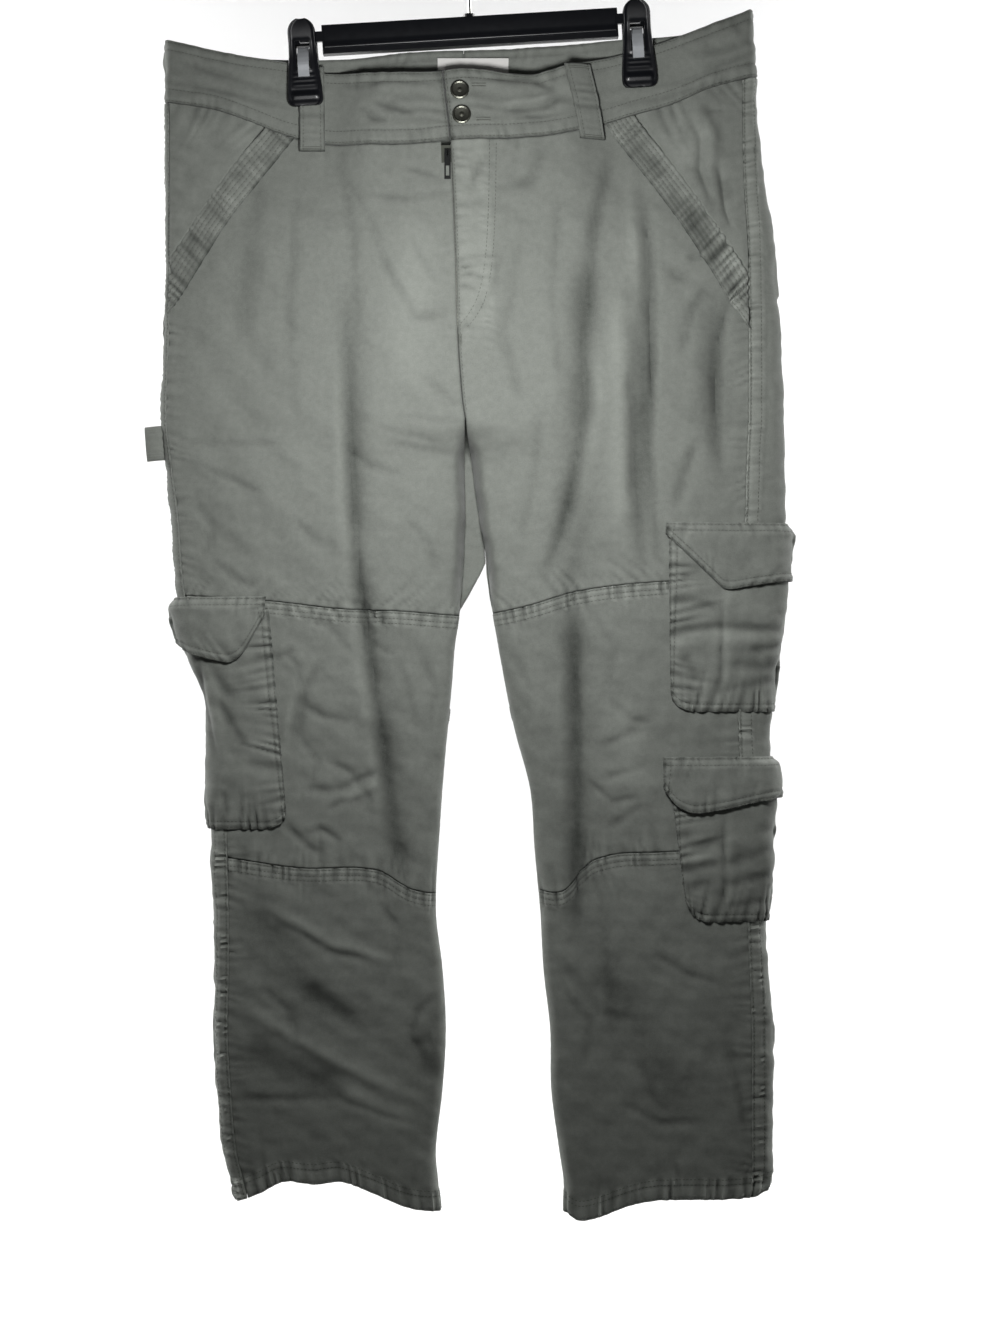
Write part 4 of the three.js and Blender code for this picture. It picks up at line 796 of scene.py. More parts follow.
class Finish:
    """A node-based material under construction."""

    def __init__(self, name: str, color: str, roughness: float, metallic: float = 0.0) -> None:
        """Starts the material with its shader.

        Args:
            name: what the material is.
            color: its mean colour.
            roughness: its mean roughness.
            metallic: 1 for bare metal.
        """
        self.material = bpy.data.materials.new(name)
        self.material.use_nodes = True
        self.tree = self.material.node_tree
        self.shader = self.tree.nodes["Principled BSDF"]
        self.set(**{"Base Color": srgb(color), "Roughness": roughness, "Metallic": metallic})

    def set(self, **values: object) -> None:
        """Sets constants on the shader's own sockets."""
        for key, value in values.items():
            self.shader.inputs[key.replace("_", " ")].default_value = value

    def node(self, kind: str, settings: Optional[dict] = None, **links: object) -> bpy.types.Node:
        """Adds a node with its settings, values and incoming links.

        Args:
            kind: the node's type.
            settings: properties of the node.
            **links: for each input, a socket to link or a value to set.

        Returns:
            The node.
        """
        made = self.tree.nodes.new(kind)
        for key, value in (settings or {}).items():
            setattr(made, key, value)
        for key, value in links.items():
            numbered = key[0] == "i" and key[1:].isdigit()
            socket = made.inputs[int(key[1:]) if numbered else key.replace("_", " ")]
            if isinstance(value, bpy.types.NodeSocket):
                self.tree.links.new(value, socket)
            else:
                socket.default_value = value
        return made

    def math(self, operation: str, a: object, b: object = 0.0) -> bpy.types.NodeSocket:
        """One arithmetic step on two values."""
        return self.node("ShaderNodeMath", {"operation": operation}, i0=a, i1=b).outputs[0]

    def noise(self, vector: bpy.types.NodeSocket, size_mm: float, detail: float = 2.0) -> bpy.types.NodeSocket:
        """Noise with features of one size in millimetres, from 0 to 1."""
        return self.node("ShaderNodeTexNoise", Vector=vector, Scale=1000 / size_mm, Detail=detail).outputs[0]

    def place(self) -> bpy.types.NodeSocket:
        """The object's own coordinates in metres."""
        return self.node("ShaderNodeTexCoord").outputs["Object"]

    def tint(self, base: str, light: str, share: bpy.types.NodeSocket) -> None:
        """Mixes the colour between two shades by a value from 0 to 1."""
        mix = self.node("ShaderNodeMix", {"data_type": "RGBA"}, i0=share, i6=srgb(base), i7=srgb(light))
        self.link(mix.outputs[2], "Base Color")

    def link(self, socket: bpy.types.NodeSocket, name: str) -> None:
        """Links a socket to the shader."""
        self.tree.links.new(socket, self.shader.inputs[name])

    def bump(self, height: bpy.types.NodeSocket, depth_mm: float) -> None:
        """Adds relief to what the shader has already.

        Args:
            height: the relief's share, from 0 to 1.
            depth_mm: its depth in millimetres.
        """
        before = self.shader.inputs["Normal"].links
        node = self.node("ShaderNodeBump", Height=height, Distance=depth_mm * MM, Strength=1.0)
        if before:
            self.tree.links.new(before[0].from_socket, node.inputs["Normal"])
        self.link(node.outputs[0], "Normal")


@dataclass(frozen=True)
class Twill:
    """Washed cotton twill: fine diagonal ribs, lighter on ridges and seam edges and darker in troughs, creases and
    joints as painted light and shade with some wear, dull with a soft sheen.
    """

    name: str = "cotton_twill"
    dark: str = "40433f"
    light: str = "9da19a"
    mean: str = "767a72"
    rib_mm: float = 0.85
    rib_slope: float = 1.7
    fade: float = 0.06
    mottle: float = 0.24
    yarn: float = 0.3
    painted_shade_and_wear: float = 0.17
    start: float = 0.26
    roughness: float = 0.78
    roughness_spread: float = 0.14

    def make(self) -> bpy.types.Material:
        """Builds the material.

        Returns:
            The material.
        """
        f = Finish(self.name, self.mean, 0.86)
        flat = f.node("ShaderNodeUVMap", {"uv_map": "cloth"}).outputs[0]
        split = f.node("ShaderNodeSeparateXYZ", Vector=flat)
        run = f.math("ADD", split.outputs[0], f.math("MULTIPLY", split.outputs[1], self.rib_slope))
        ribs = f.math("SINE", f.math("MULTIPLY", run, 2 * math.pi * 1000 / self.rib_mm))
        place = f.place()
        # Broad fading, the mottle of washed cloth and single yarns.
        fade, mottle, yarn = f.noise(place, 260), f.noise(place, 5, 4), f.noise(flat, 1.1, 3)
        painted_shade_and_wear = f.node("ShaderNodeAttribute", {"attribute_name": "relief"}).outputs["Fac"]
        shift = f.math("ADD", f.math("MULTIPLY", painted_shade_and_wear, self.painted_shade_and_wear), self.start)
        total = f.math("ADD", f.math("MULTIPLY", fade, self.fade), f.math("MULTIPLY", mottle, self.mottle))
        total = f.math("ADD", total, f.math("MULTIPLY", yarn, self.yarn))
        # Painted light and shade with some wear: ridges lighter, and troughs, creases and joints darker, from the
        # relief attribute.
        total = f.math("ADD", total, shift)
        clamp = f.node("ShaderNodeClamp", Value=total).outputs[0]
        f.tint(self.dark, self.light, clamp)
        f.link(f.math("MULTIPLY_ADD", mottle, self.roughness_spread), "Roughness")
        f.shader.inputs["Roughness"].links[0].from_node.inputs[2].default_value = self.roughness
        f.bump(f.math("MULTIPLY_ADD", ribs, 0.5), 0.05)
        f.bump(yarn, 0.09)
        f.bump(mottle, 0.25)
        f.set(**{"Sheen Weight": 0.22, "Sheen Roughness": 0.45, "Specular IOR Level": 0.25})
        return f.material


@dataclass(frozen=True)
class Plain:
    """A simple finish with a fine grain: plastic, wire, brass, tape, thread or label."""

    name: str
    dark: str
    light: str
    roughness: float
    metallic: float = 0.0
    grain_mm: float = 1.0
    depth_mm: float = 0.02
    coat: float = 0.0
    spread: float = 0.1

    def make(self) -> bpy.types.Material:
        """Builds the material.

        Returns:
            The material.
        """
        f = Finish(self.name, self.dark, self.roughness, self.metallic)
        place = f.place()
        grain, broad = f.noise(place, self.grain_mm, 3), f.noise(place, self.grain_mm * 14, 3)
        # Uneven shade and gloss, as handling leaves them.
        f.tint(self.dark, self.light, f.math("MULTIPLY", f.math("ADD", grain, broad), 0.5))
        low, high = self.roughness - self.spread, self.roughness + self.spread
        rough = f.node("ShaderNodeMapRange", Value=broad, To_Min=low, To_Max=high)
        f.link(rough.outputs[0], "Roughness")
        f.bump(grain, self.depth_mm)
        if self.coat:
            f.set(**{"Coat Weight": self.coat, "Coat Roughness": 0.15})
        return f.material


@dataclass
class Finishes:
    """Every finish of the garment and its hanger."""

    twill: bpy.types.Material = field(default_factory=Twill().make)
    thread: bpy.types.Material = field(
        default_factory=Plain("sewing_thread", "4b4e48", "64675f", 0.7, 0, 0.6, 0.03).make)
    plastic: bpy.types.Material = field(
        default_factory=Plain("black_moulded_plastic", "08090c", "101218", 0.34, 0, 0.5, 0.01, 0.0, 0.05).make)
    steel: bpy.types.Material = field(
        default_factory=Plain("spring_steel_wire", "9a9a97", "b9b8b4", 0.3, 1, 0.7, 0.01, 0, 0.08).make)
    plate: bpy.types.Material = field(
        default_factory=Plain("zinc_plate", "a9adb1", "cdd0d3", 0.46, 0.35, 0.5, 0.02, 0, 0.08).make)
    brass: bpy.types.Material = field(
        default_factory=Plain("dark_antique_brass", "4a4d47", "85857b", 0.38, 1, 1.4, 0.03, 0, 0.12).make)
    dark_metal: bpy.types.Material = field(
        default_factory=Plain("blackened_zip_metal", "1a1b1b", "343534", 0.4, 1, 0.9, 0.02, 0, 0.1).make)
    tape: bpy.types.Material = field(
        default_factory=Plain("zip_tape_weave", "43463f", "565950", 0.85, 0, 0.7, 0.08).make)
    label: bpy.types.Material = field(
        default_factory=Plain("woven_label", "dddcd8", "f1f0ed", 0.75, 0, 0.8, 0.05).make)


@dataclass(frozen=True)
class Seam:
    """What a sewn edge does to the cloth beside it, in millimetres from the edge."""

    ripple: float = 0.5
    wavelength: float = 11.0
    reach: float = 9.0
    strip: float = 0.0
    rise: float = 0.0
    rows: tuple[float, ...] = ()

    def relief(self, away: Array, s: Array, seed: float) -> Array:
        """How far the cloth moves out beside the edge.

        Args:
            away: distances from the edge.
            s: places along it.
            seed: where the unevenness starts.

        Returns:
            Millimetres out.
        """
        out = pucker(s, away, self.ripple, self.wavelength, self.reach, seed)
        if self.strip:
            inside = smooth(self.strip + 1.0, self.strip - 0.4, away)
            rungs = self.ripple * STRIP_RIPPLE * wander(s, self.wavelength * STRIP_WAVE, seed + 3)
            out = out + self.rise * inside + rungs * inside
        for row in self.rows:
            out = out - GROOVE * bell(away, row, GROOVE_HALF)
        return out


# The back panels' seams: top edge, side strips with rungs of thread, felled seams, inseam and hem.
PLAIN_SEAM = Seam(0.8, 12, 16)
LADDER = Seam(0.48, 8.5, 14, 13.5, 1.0, (2.2, 11.6))
FLAT_LADDER = Seam(0.22, 8.5, 14, 13.5, 0.5, (2.2, 11.6))
FELLED = Seam(0.8, 10.5, 18, 12.6, 0.6, (1.8, 6.6, 11.0))
UNDER_FELLED = Seam(0.8, 11, 19)
INSEAM = Seam(0.25, 12, 12, 0, 0, ())
HEM_SEAM = Seam(0.9, 12, 20, 19, 0.9, (1.8, 13.5, 18.2))
# The front panels' own seams, the waistband's, the hip facing's, the pockets' and the flaps'.
FRONT_SIDE, FRONT_TOP = Seam(0.7, 9.5, 15), Seam(0.35, 13, 16)
BAND_SEAMS = {
    "top": Seam(0.5, 13, 12, 0, 0, (2.2, 9.0)),
    "foot": Seam(0.6, 9.5, 11, 0, 0, (2.2, 12.4)),
    "inner": Seam(0.3, 9, 6, 0, 0, (2.5,)),
}
FACING_SEAMS = {"side": Seam(0.3, 10, 12), "top": Seam(0.6, 12, 26)}
POCKET_SEAMS = {edge: Seam(1.5, 9.0, 24, 0, 0, (1.8, 7.2)) for edge in ("inner", "side", "foot")}
FLAP_SEAMS = {
    "inner": Seam(1.1, 9, 14, 0, 0, (1.8, 7.2)),
    "side": Seam(0.8, 10, 12, 0, 0, (1.8,)),
    "foot": Seam(0.9, 10, 14, 0, 0, (1.8, 7.2)),
    "top": Seam(0.9, 9, 12, 0, 0, (1.8, 7.2)),
}
EDGES = ("inner", "side", "top", "foot")


@dataclass
class StitchRow:
    """A row of stitches: points on the cloth and the way out of it at each."""

    points: Array
    up: Array
    pitch: float = 3.5
    length: float = 2.7
    width: float = 0.62

    def stations(self) -> tuple[Array, Array, Array]:
        """Where every stitch lies.

        Returns:
            The stitches' middles, directions and outward ways.
        """
        gaps = np.linalg.norm(np.diff(self.points, axis=0), axis=1)
        at = np.concatenate([[0], np.cumsum(gaps)])
        count = max(1, int(at[-1] / self.pitch))
        middles = (np.arange(count) + 0.5) * at[-1] / count
        half = self.length / 2

        def read(values: Array, where: Array) -> Array:
            """The row's values at distances along it."""
            return np.stack([np.interp(where, at, values[:, k]) for k in range(3)], axis=1)

        ahead = read(self.points, np.minimum(middles + half, at[-1])) - read(self.points, np.maximum(middles - half, 0))
        ahead /= np.maximum(np.linalg.norm(ahead, axis=1, keepdims=True), 1e-9)
        return read(self.points, middles), ahead, read(self.up, middles)


@dataclass
class Sewing:
    """Gathers rows of stitches and makes them with Geometry Nodes, one piece for each part of the garment."""

    material: bpy.types.Material
    rows: dict[str, list[StitchRow]] = field(default_factory=dict)

    def sew(self, part: str, points: Array, up: Array, **sizes: float) -> None:
        """Adds a row of stitches to a part's sewing."""
        if len(points) > 1:
            self.rows.setdefault(part, []).append(StitchRow(points, up, **sizes))

    def sew_edges(self, part: str, shell: Shell, seams: dict[str, Seam]) -> None:
        """Adds the rows beside a shell's sewn edges.

        Args:
            part: the part of the garment.
            shell: its cloth.
            seams: what each edge does.
        """
        for edge, seam in seams.items():
            for distance in seam.rows:
                self.sew(part, *edge_row(shell, edge, distance))

    def make(self) -> None:
        """Makes every part's stitches."""
        for part, rows in self.rows.items():
            stations = [np.concatenate(x) for x in zip(*(row.stations() for row in rows))]
            sizes = [np.tile([r.length / 2, r.width / 2, r.width * 0.42], (len(r.stations()[0]), 1)) for r in rows]
            repeat(f"stitches_{part}", stations, np.concatenate(sizes), Unit.ICO, self.material)


def repeat(
    name: str, stations: Sequence[Array], sizes: Array, shape: Unit, material: bpy.types.Material
) -> None:
    """Sets one small shape at every station with Geometry Nodes, and keeps the result as a plain mesh.

    Args:
        name: the piece's name.
        stations: middles, directions and outward ways, in millimetres.
        sizes: half sizes along, across and out of the cloth.
        shape: what is repeated.
        material: its finish.
    """
    middles, ahead, up = stations
    mesh = bpy.data.meshes.new(name)
    mesh.from_pydata(((middles - (HOOK_X, 0, 0)) * MM).tolist(), [], [])
    for key, values in (("ahead", ahead), ("up", up), ("half_size", sizes * MM)):
        mesh.attributes.new(key, "FLOAT_VECTOR", "POINT").data.foreach_set("vector", values.astype(np.float32).ravel())
    obj = bpy.data.objects.new(name, mesh)
    bpy.context.scene.collection.objects.link(obj)
    tree = bpy.data.node_groups.new(f"{name}_tree", "GeometryNodeTree")
    tree.interface.new_socket("Geometry", in_out="INPUT", socket_type="NodeSocketGeometry")
    scale = tree.interface.new_socket("Thread scale", in_out="INPUT", socket_type="NodeSocketFloat")
    finish = tree.interface.new_socket("Finish", in_out="INPUT", socket_type="NodeSocketMaterial")
    tree.interface.new_socket("Geometry", in_out="OUTPUT", socket_type="NodeSocketGeometry")

    def add(kind: str, settings: Optional[dict] = None, **links: object) -> bpy.types.Node:
        """Adds a node.

        Args:
            kind: the node's type.
            settings: properties of the node.
            **links: for each input, a socket to link or a value to set.

        Returns:
            The node.
        """
        node = tree.nodes.new(kind)
        for key, value in (settings or {}).items():
            setattr(node, key, value)
        for key, value in links.items():
            socket = node.inputs[key.replace("_", " ")]
            if isinstance(value, bpy.types.NodeSocket):
                tree.links.new(value, socket)
            else:
                socket.default_value = value
        return node

    def vector(key: str) -> bpy.types.NodeSocket:
        """A stored vector of each point."""
        return add("GeometryNodeInputNamedAttribute", {"data_type": "FLOAT_VECTOR"}, Name=key).outputs["Attribute"]

    source = add("NodeGroupInput")
    if shape is Unit.ICO:
        unit = add("GeometryNodeMeshIcoSphere", Radius=1.0, Subdivisions=1).outputs["Mesh"]
    else:
        unit = add("GeometryNodeMeshCube", Size=(2, 2, 2)).outputs["Mesh"]
    along = add("FunctionNodeAlignRotationToVector", {"axis": "X"}, Vector=vector("ahead"))
    upright = {"axis": "Z", "pivot_axis": "X"}
    turned = add("FunctionNodeAlignRotationToVector", upright, Rotation=along.outputs[0], Vector=vector("up"))
    sized = add("ShaderNodeVectorMath", {"operation": "SCALE"})
    tree.links.new(vector("half_size"), sized.inputs[0])
    tree.links.new(source.outputs["Thread scale"], sized.inputs["Scale"])
    placed = add(
        "GeometryNodeInstanceOnPoints", Points=source.outputs["Geometry"], Instance=unit,
        Rotation=turned.outputs[0], Scale=sized.outputs[0])
    real = add("GeometryNodeRealizeInstances", Geometry=placed.outputs[0])
    soft = add("GeometryNodeSetShadeSmooth", Geometry=real.outputs[0], Shade_Smooth=shape is Unit.ICO)
    done = add("GeometryNodeSetMaterial", Geometry=soft.outputs[0], Material=source.outputs["Finish"])
    add("NodeGroupOutput", Geometry=done.outputs[0])
    modifier = obj.modifiers.new("repeat", "NODES")
    modifier.node_group = tree
    modifier[scale.identifier] = 1.0
    modifier[finish.identifier] = material
    evaluated = obj.evaluated_get(bpy.context.evaluated_depsgraph_get())
    plain = bpy.data.meshes.new_from_object(evaluated)
    obj.modifiers.remove(modifier)
    obj.data = plain
    for key in [a.name for a in plain.attributes if a.name in ("ahead", "up", "half_size")]:
        plain.attributes.remove(plain.attributes[key])
    if not plain.materials:
        plain.materials.append(material)
    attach(obj, BODY)
    LOG.info("built %s with %d repeats", name, len(middles))


def edge_row(shell: Shell, edge: str, distance: float) -> tuple[Array, Array]:
    """A line of points at one distance inside an edge of a shell.

    Args:
        shell: the cloth.
        edge: inner, side, top or foot.
        distance: millimetres from the edge.

    Returns:
        The points on the outer face, and the way out at each.
    """
    outer, ways = shell.outer(THREAD_LIFT), shell.way
    if edge in ("inner", "side"):
        outer, ways, base = outer.transpose(1, 0, 2), ways.transpose(1, 0, 2), shell.points.transpose(1, 0, 2)
    else:
        base = shell.points
    if edge in ("side", "foot"):
        outer, ways, base = outer[::-1], ways[::-1], base[::-1]
    down = arc(base, 0)
    points, up = [], []
    for j in range(outer.shape[1]):
        if down[-1, j] <= distance:
            continue
        i = int(np.searchsorted(down[:, j], distance)) - 1
        t = (distance - down[i, j]) / (down[i + 1, j] - down[i, j])
        points.append(lerp(outer[i, j], outer[i + 1, j], t))
        up.append(ways[i, j])
    return np.array(points), np.array(up)


def edge_distances(points: Array) -> tuple[dict[str, Array], Array, Array]:
    """How far each point of a grid lies from the grid's edges.

    Args:
        points: rows by columns by three.

    Returns:
        The distances from each edge, and those across and down from the first corner.
    """
    across, down = arc(points, 1), arc(points, 0)
    away = {"inner": across, "side": across[:, -1:] - across, "top": down, "foot": down[-1:] - down}
    return away, across, down


def relief_of(points: Array, seams: dict[str, Seam], seed: float) -> Array:
    """What all the sewn edges of a grid do to it.

    Args:
        points: rows by columns by three.
        seams: what each edge does.
        seed: where the unevenness starts.

    Returns:
        Millimetres out.
    """
    away, across, down = edge_distances(points)
    total = np.zeros(points.shape[:2])
    for k, (edge, seam) in enumerate(seams.items()):
        total += seam.relief(away[edge], down if edge in ("inner", "side") else across, seed + 1.7 * k)
    return total


def painted_joint_shade(points: Array, edges: Sequence[str] = EDGES, width: float = 1.5) -> Array:
    """Painted shade: the dark line that shade leaves in a joint, painted into the colour as relief that isn't there.

    Args:
        points: rows by columns by three.
        edges: the edges that lie in a joint.
        width: how far the line fades.

    Returns:
        Millimetres, below zero.
    """
    away, _, _ = edge_distances(points)
    return -JOINT_SHADE * sum(bell(away[edge], 0, width) for edge in edges)


def ring_grid(
    form: LegForm, place: Place, top: Line, foot: Line, across: Array, down: Array
) -> tuple[Array, Array]:
    """A grid of points round a leg between two lines.

    Args:
        form: the leg.
        place: the ring place at a share across and a height.
        top: the upper line, one curve or one for each face.
        foot: the lower line.
        across: shares of the columns.
        down: shares of the rows.

    Returns:
        The points, and -1 or +1 for the front or back at each.
    """
    q, v = across[None, :], down[:, None]
    z = np.full((len(down), len(across)), -600.0)

    def level(line: Line, w: Array) -> Array:
        """The height at which a line meets each ring place.

        Args:
            line: one curve, one for each face, or a line between two.
            w: places round the ring.

        Returns:
            Heights.
        """
        if isinstance(line, Between):
            return lerp(level(line.high, w), level(line.low, w), line.share)
        if isinstance(line, Curve):
            line = {Face.FRONT: line, Face.BACK: line}
        at = np.full(w.shape, -600.0)
        for _ in range(6):
            x = form.ring_x(w, at)
            at = np.where(w <= 1, line[Face.FRONT](x), line[Face.BACK](x))
        return at

    for _ in range(4):
        w = place(q, z) * np.ones_like(z)
        z = lerp(level(top, w) - GAP, level(foot, w) + GAP, v)
    w = place(q, z) * np.ones_like(z)
    return form.ring(w, z), np.where(w <= 1, -1.0, 1.0)


def paced(length_at: Callable[[Array], Array], fine: float, coarse: float) -> Array:
    """Shares across a panel that are evenly paced over its real length, closer at both ends.

    Args:
        length_at: points at shares from 0 to 1.
        fine: spacing at the ends.
        coarse: spacing in the middle.

    Returns:
        The shares.
    """
    tries = np.linspace(0, 1, 600)
    points = length_at(tries)
    at = np.concatenate([[0], np.cumsum(np.linalg.norm(np.diff(points, axis=0), axis=1))])
    return np.interp(dense(at[-1], fine, coarse) * at[-1], at, tries)




def creases(points: Array, sign: Array) -> Array:
    """The height of the folds alone, which is painted into the cloth's colour as light on ridges and shade in creases.

    Args:
        points: rows by columns by three.
        sign: -1 on the front and +1 on the back, at each point.

    Returns:
        Millimetres.
    """
    total, x, z = np.zeros(points.shape[:2]), points[..., 0], points[..., 2]
    for fold in FOLDS:
        total += np.where((sign < 0) == (fold.face is Face.FRONT), fold.height(x, z), 0)
    return total


@dataclass
class LegPanels:
    """The three front panels and the two back panels of one leg."""

    side: Side
    finishes: Finishes
    sewing: Sewing
    wall: float = CLOTH
    row: float = 2.5
    front_column: float = 3.3
    back_column: float = 5.2

    def grid(self, back: bool, top: Line, foot: Line) -> tuple[Array, Array]:
        """The grid of a panel between two lines, close beside its edges.

        Args:
            back: whether it is a back panel.
            top: its upper line.
            foot: its lower line.

        Returns:
            The points, and -1 or +1 for the front or back at each.
        """
        form = LEGS[self.side]

        def place(q: Array, z: Array) -> Array:
            """The ring place at a share across the panel."""
            seam = form.seam_ring(z)
            return lerp(2.0, seam + TRIM, q) if back else lerp(0.0, seam - TRIM, q)

        def knee_row(q: Array) -> Array:
            """Points across the panel at the height of the knee."""
            z = np.full(q.shape, KNEE)
            return form.ring(place(q, z), z)

        across = paced(knee_row, 0.8, self.back_column if back else self.front_column)
        rough, _ = ring_grid(form, place, top, foot, across[:: len(across) // 4], np.linspace(0, 1, 30))
        length = float(arc(rough, 0)[-1].mean())
        return ring_grid(form, place, top, foot, across, dense(length, 0.8, self.row))

    def panel(
        self, name: str, back: bool, lines: tuple[Line, Line], seams: dict[str, Seam], seed: float,
        mask: Optional[Mask] = None,
    ) -> Shell:
        """Builds one panel with its puckers, seams and stitch rows.

        Args:
            name: the CAD node that it stands for, without its side.
            back: whether it is a back panel.
            lines: its upper and lower line.
            seams: what each edge does.
            seed: where the unevenness starts.
            mask: which places are cut away, from x and height.

        Returns:
            The shell.
        """
        points, sign = self.grid(back, *lines)
        x, z = points[..., 0], points[..., 2]
        relief = relief_of(points, seams, seed)
        down, away = arc(points, 0), arc(points, 1)
        if name == "front_thigh" and self.side is Side.LEFT:
            # The fly's facing lies double as far as its curved stitching, drawn in by its rows.
            edge_row_pull = 0.9 * pucker(down, away, 1.0, 9.0, 11.0, 3.0)
            curved_row_pull = 0.6 * pucker(down, np.abs(away - FLY_ROW), 1.0, 8.0, 7.0, 9.0)
            doubled = 0.9 * smooth(FLY_ROW + 9, FLY_ROW + 3, away) * smooth(-385, -345, z)
            relief += doubled + (edge_row_pull + curved_row_pull) * smooth(-400, -372, z)
        pressed = LEGS[self.side].pinch.share(x, z)
        swells = unevenness(x, z, sign) * smooth(0, 16, np.minimum(away, away[:, -1:] - away))
        # Where a felled seam ends at the inseam it is pressed flat.
        relief = relief * lerp(0.3, 1.0, smooth(0, 7, away))
        out = (relief + swells) * (1 - 0.6 * pressed)
        # Painted light and shade: the folds' creases and the joints darken the cloth's colour through its relief
        # attribute.
        shade = relief + np.where(sign > 0, BACK_CREASE, FRONT_CREASE) * creases(points, sign)
        shade = shade + painted_joint_shade(points, ("inner",)) + 0.5 * painted_joint_shade(points, ("top", "foot"))
        shade = shade + 0.15 * painted_joint_shade(points, ("side",))
        shell = Shell(f"{name}_{self.side.value}", points, sign, out, self.wall, roll=1.3, relief=shade)
        if mask is not None:
            cut = mask(x, z)
            shell.mask = ~(cut[:-1, :-1] | cut[1:, 1:])
        wear(shell, self.finishes.twill)
        if mask is None:
            rows = {edge: seam for edge, seam in seams.items() if seam.rows}
            self.sewing.sew_edges("back" if back else "front", shell, rows)
        return shell

    def make(self) -> Shell:
        """Builds the five panels.

        Returns:
            The front thigh.
        """
        left = self.side is Side.LEFT
        seed = 1.0 if left else 5.0
        front = {"inner": INSEAM, "side": FRONT_SIDE}
        upper = {"inner": INSEAM, "side": LADDER if left else FLAT_LADDER, "top": PLAIN_SEAM, "foot": UNDER_FELLED}
        lower = {"inner": INSEAM, "side": LADDER, "top": FELLED, "foot": HEM_SEAM}
        self.panel("back_upper", True, (WAIST_FOOT, BACK_SEAM), upper, seed)
        self.panel("back_lower", True, (BACK_SEAM, HEM), lower, seed + 0.5)
        band = HipBand(self.side)

        def hip(x: Array, z: Array) -> Array:
            """What the pocket's opening, and on the right the zip's slider, leave out of the front.

            Args:
                x: places' x.
                z: their heights.

            Returns:
                Whether each place is left out.
            """
            cut = (band.across(x, z) > 3) & (z > band.z1 - 30)
            slot = (x > -18.2) & (x < -8) & (z > -217.5) & (not left)
            return cut | slot

        thigh = {**front, "top": FRONT_TOP, "foot": UNDER_FELLED}
        made = self.panel("front_thigh", False, (WAIST_FOOT, THIGH_SEAM), thigh, seed + 1, hip)
        knee = {**front, "top": FELLED, "foot": UNDER_FELLED}
        self.panel("front_knee", False, (THIGH_SEAM, KNEE_SEAM), knee, seed + 2)
        shin = {**front, "top": FELLED, "foot": HEM_SEAM}
        self.panel("front_shin", False, (KNEE_SEAM, HEM), shin, seed + 3)
        return made


# For each hip band's middle line, the x and height of its two ends, and its bow.
BAND_LINES = {Side.LEFT: (145, -184, 249, -333, 4), Side.RIGHT: (-165, -190, -260, -325, -4)}


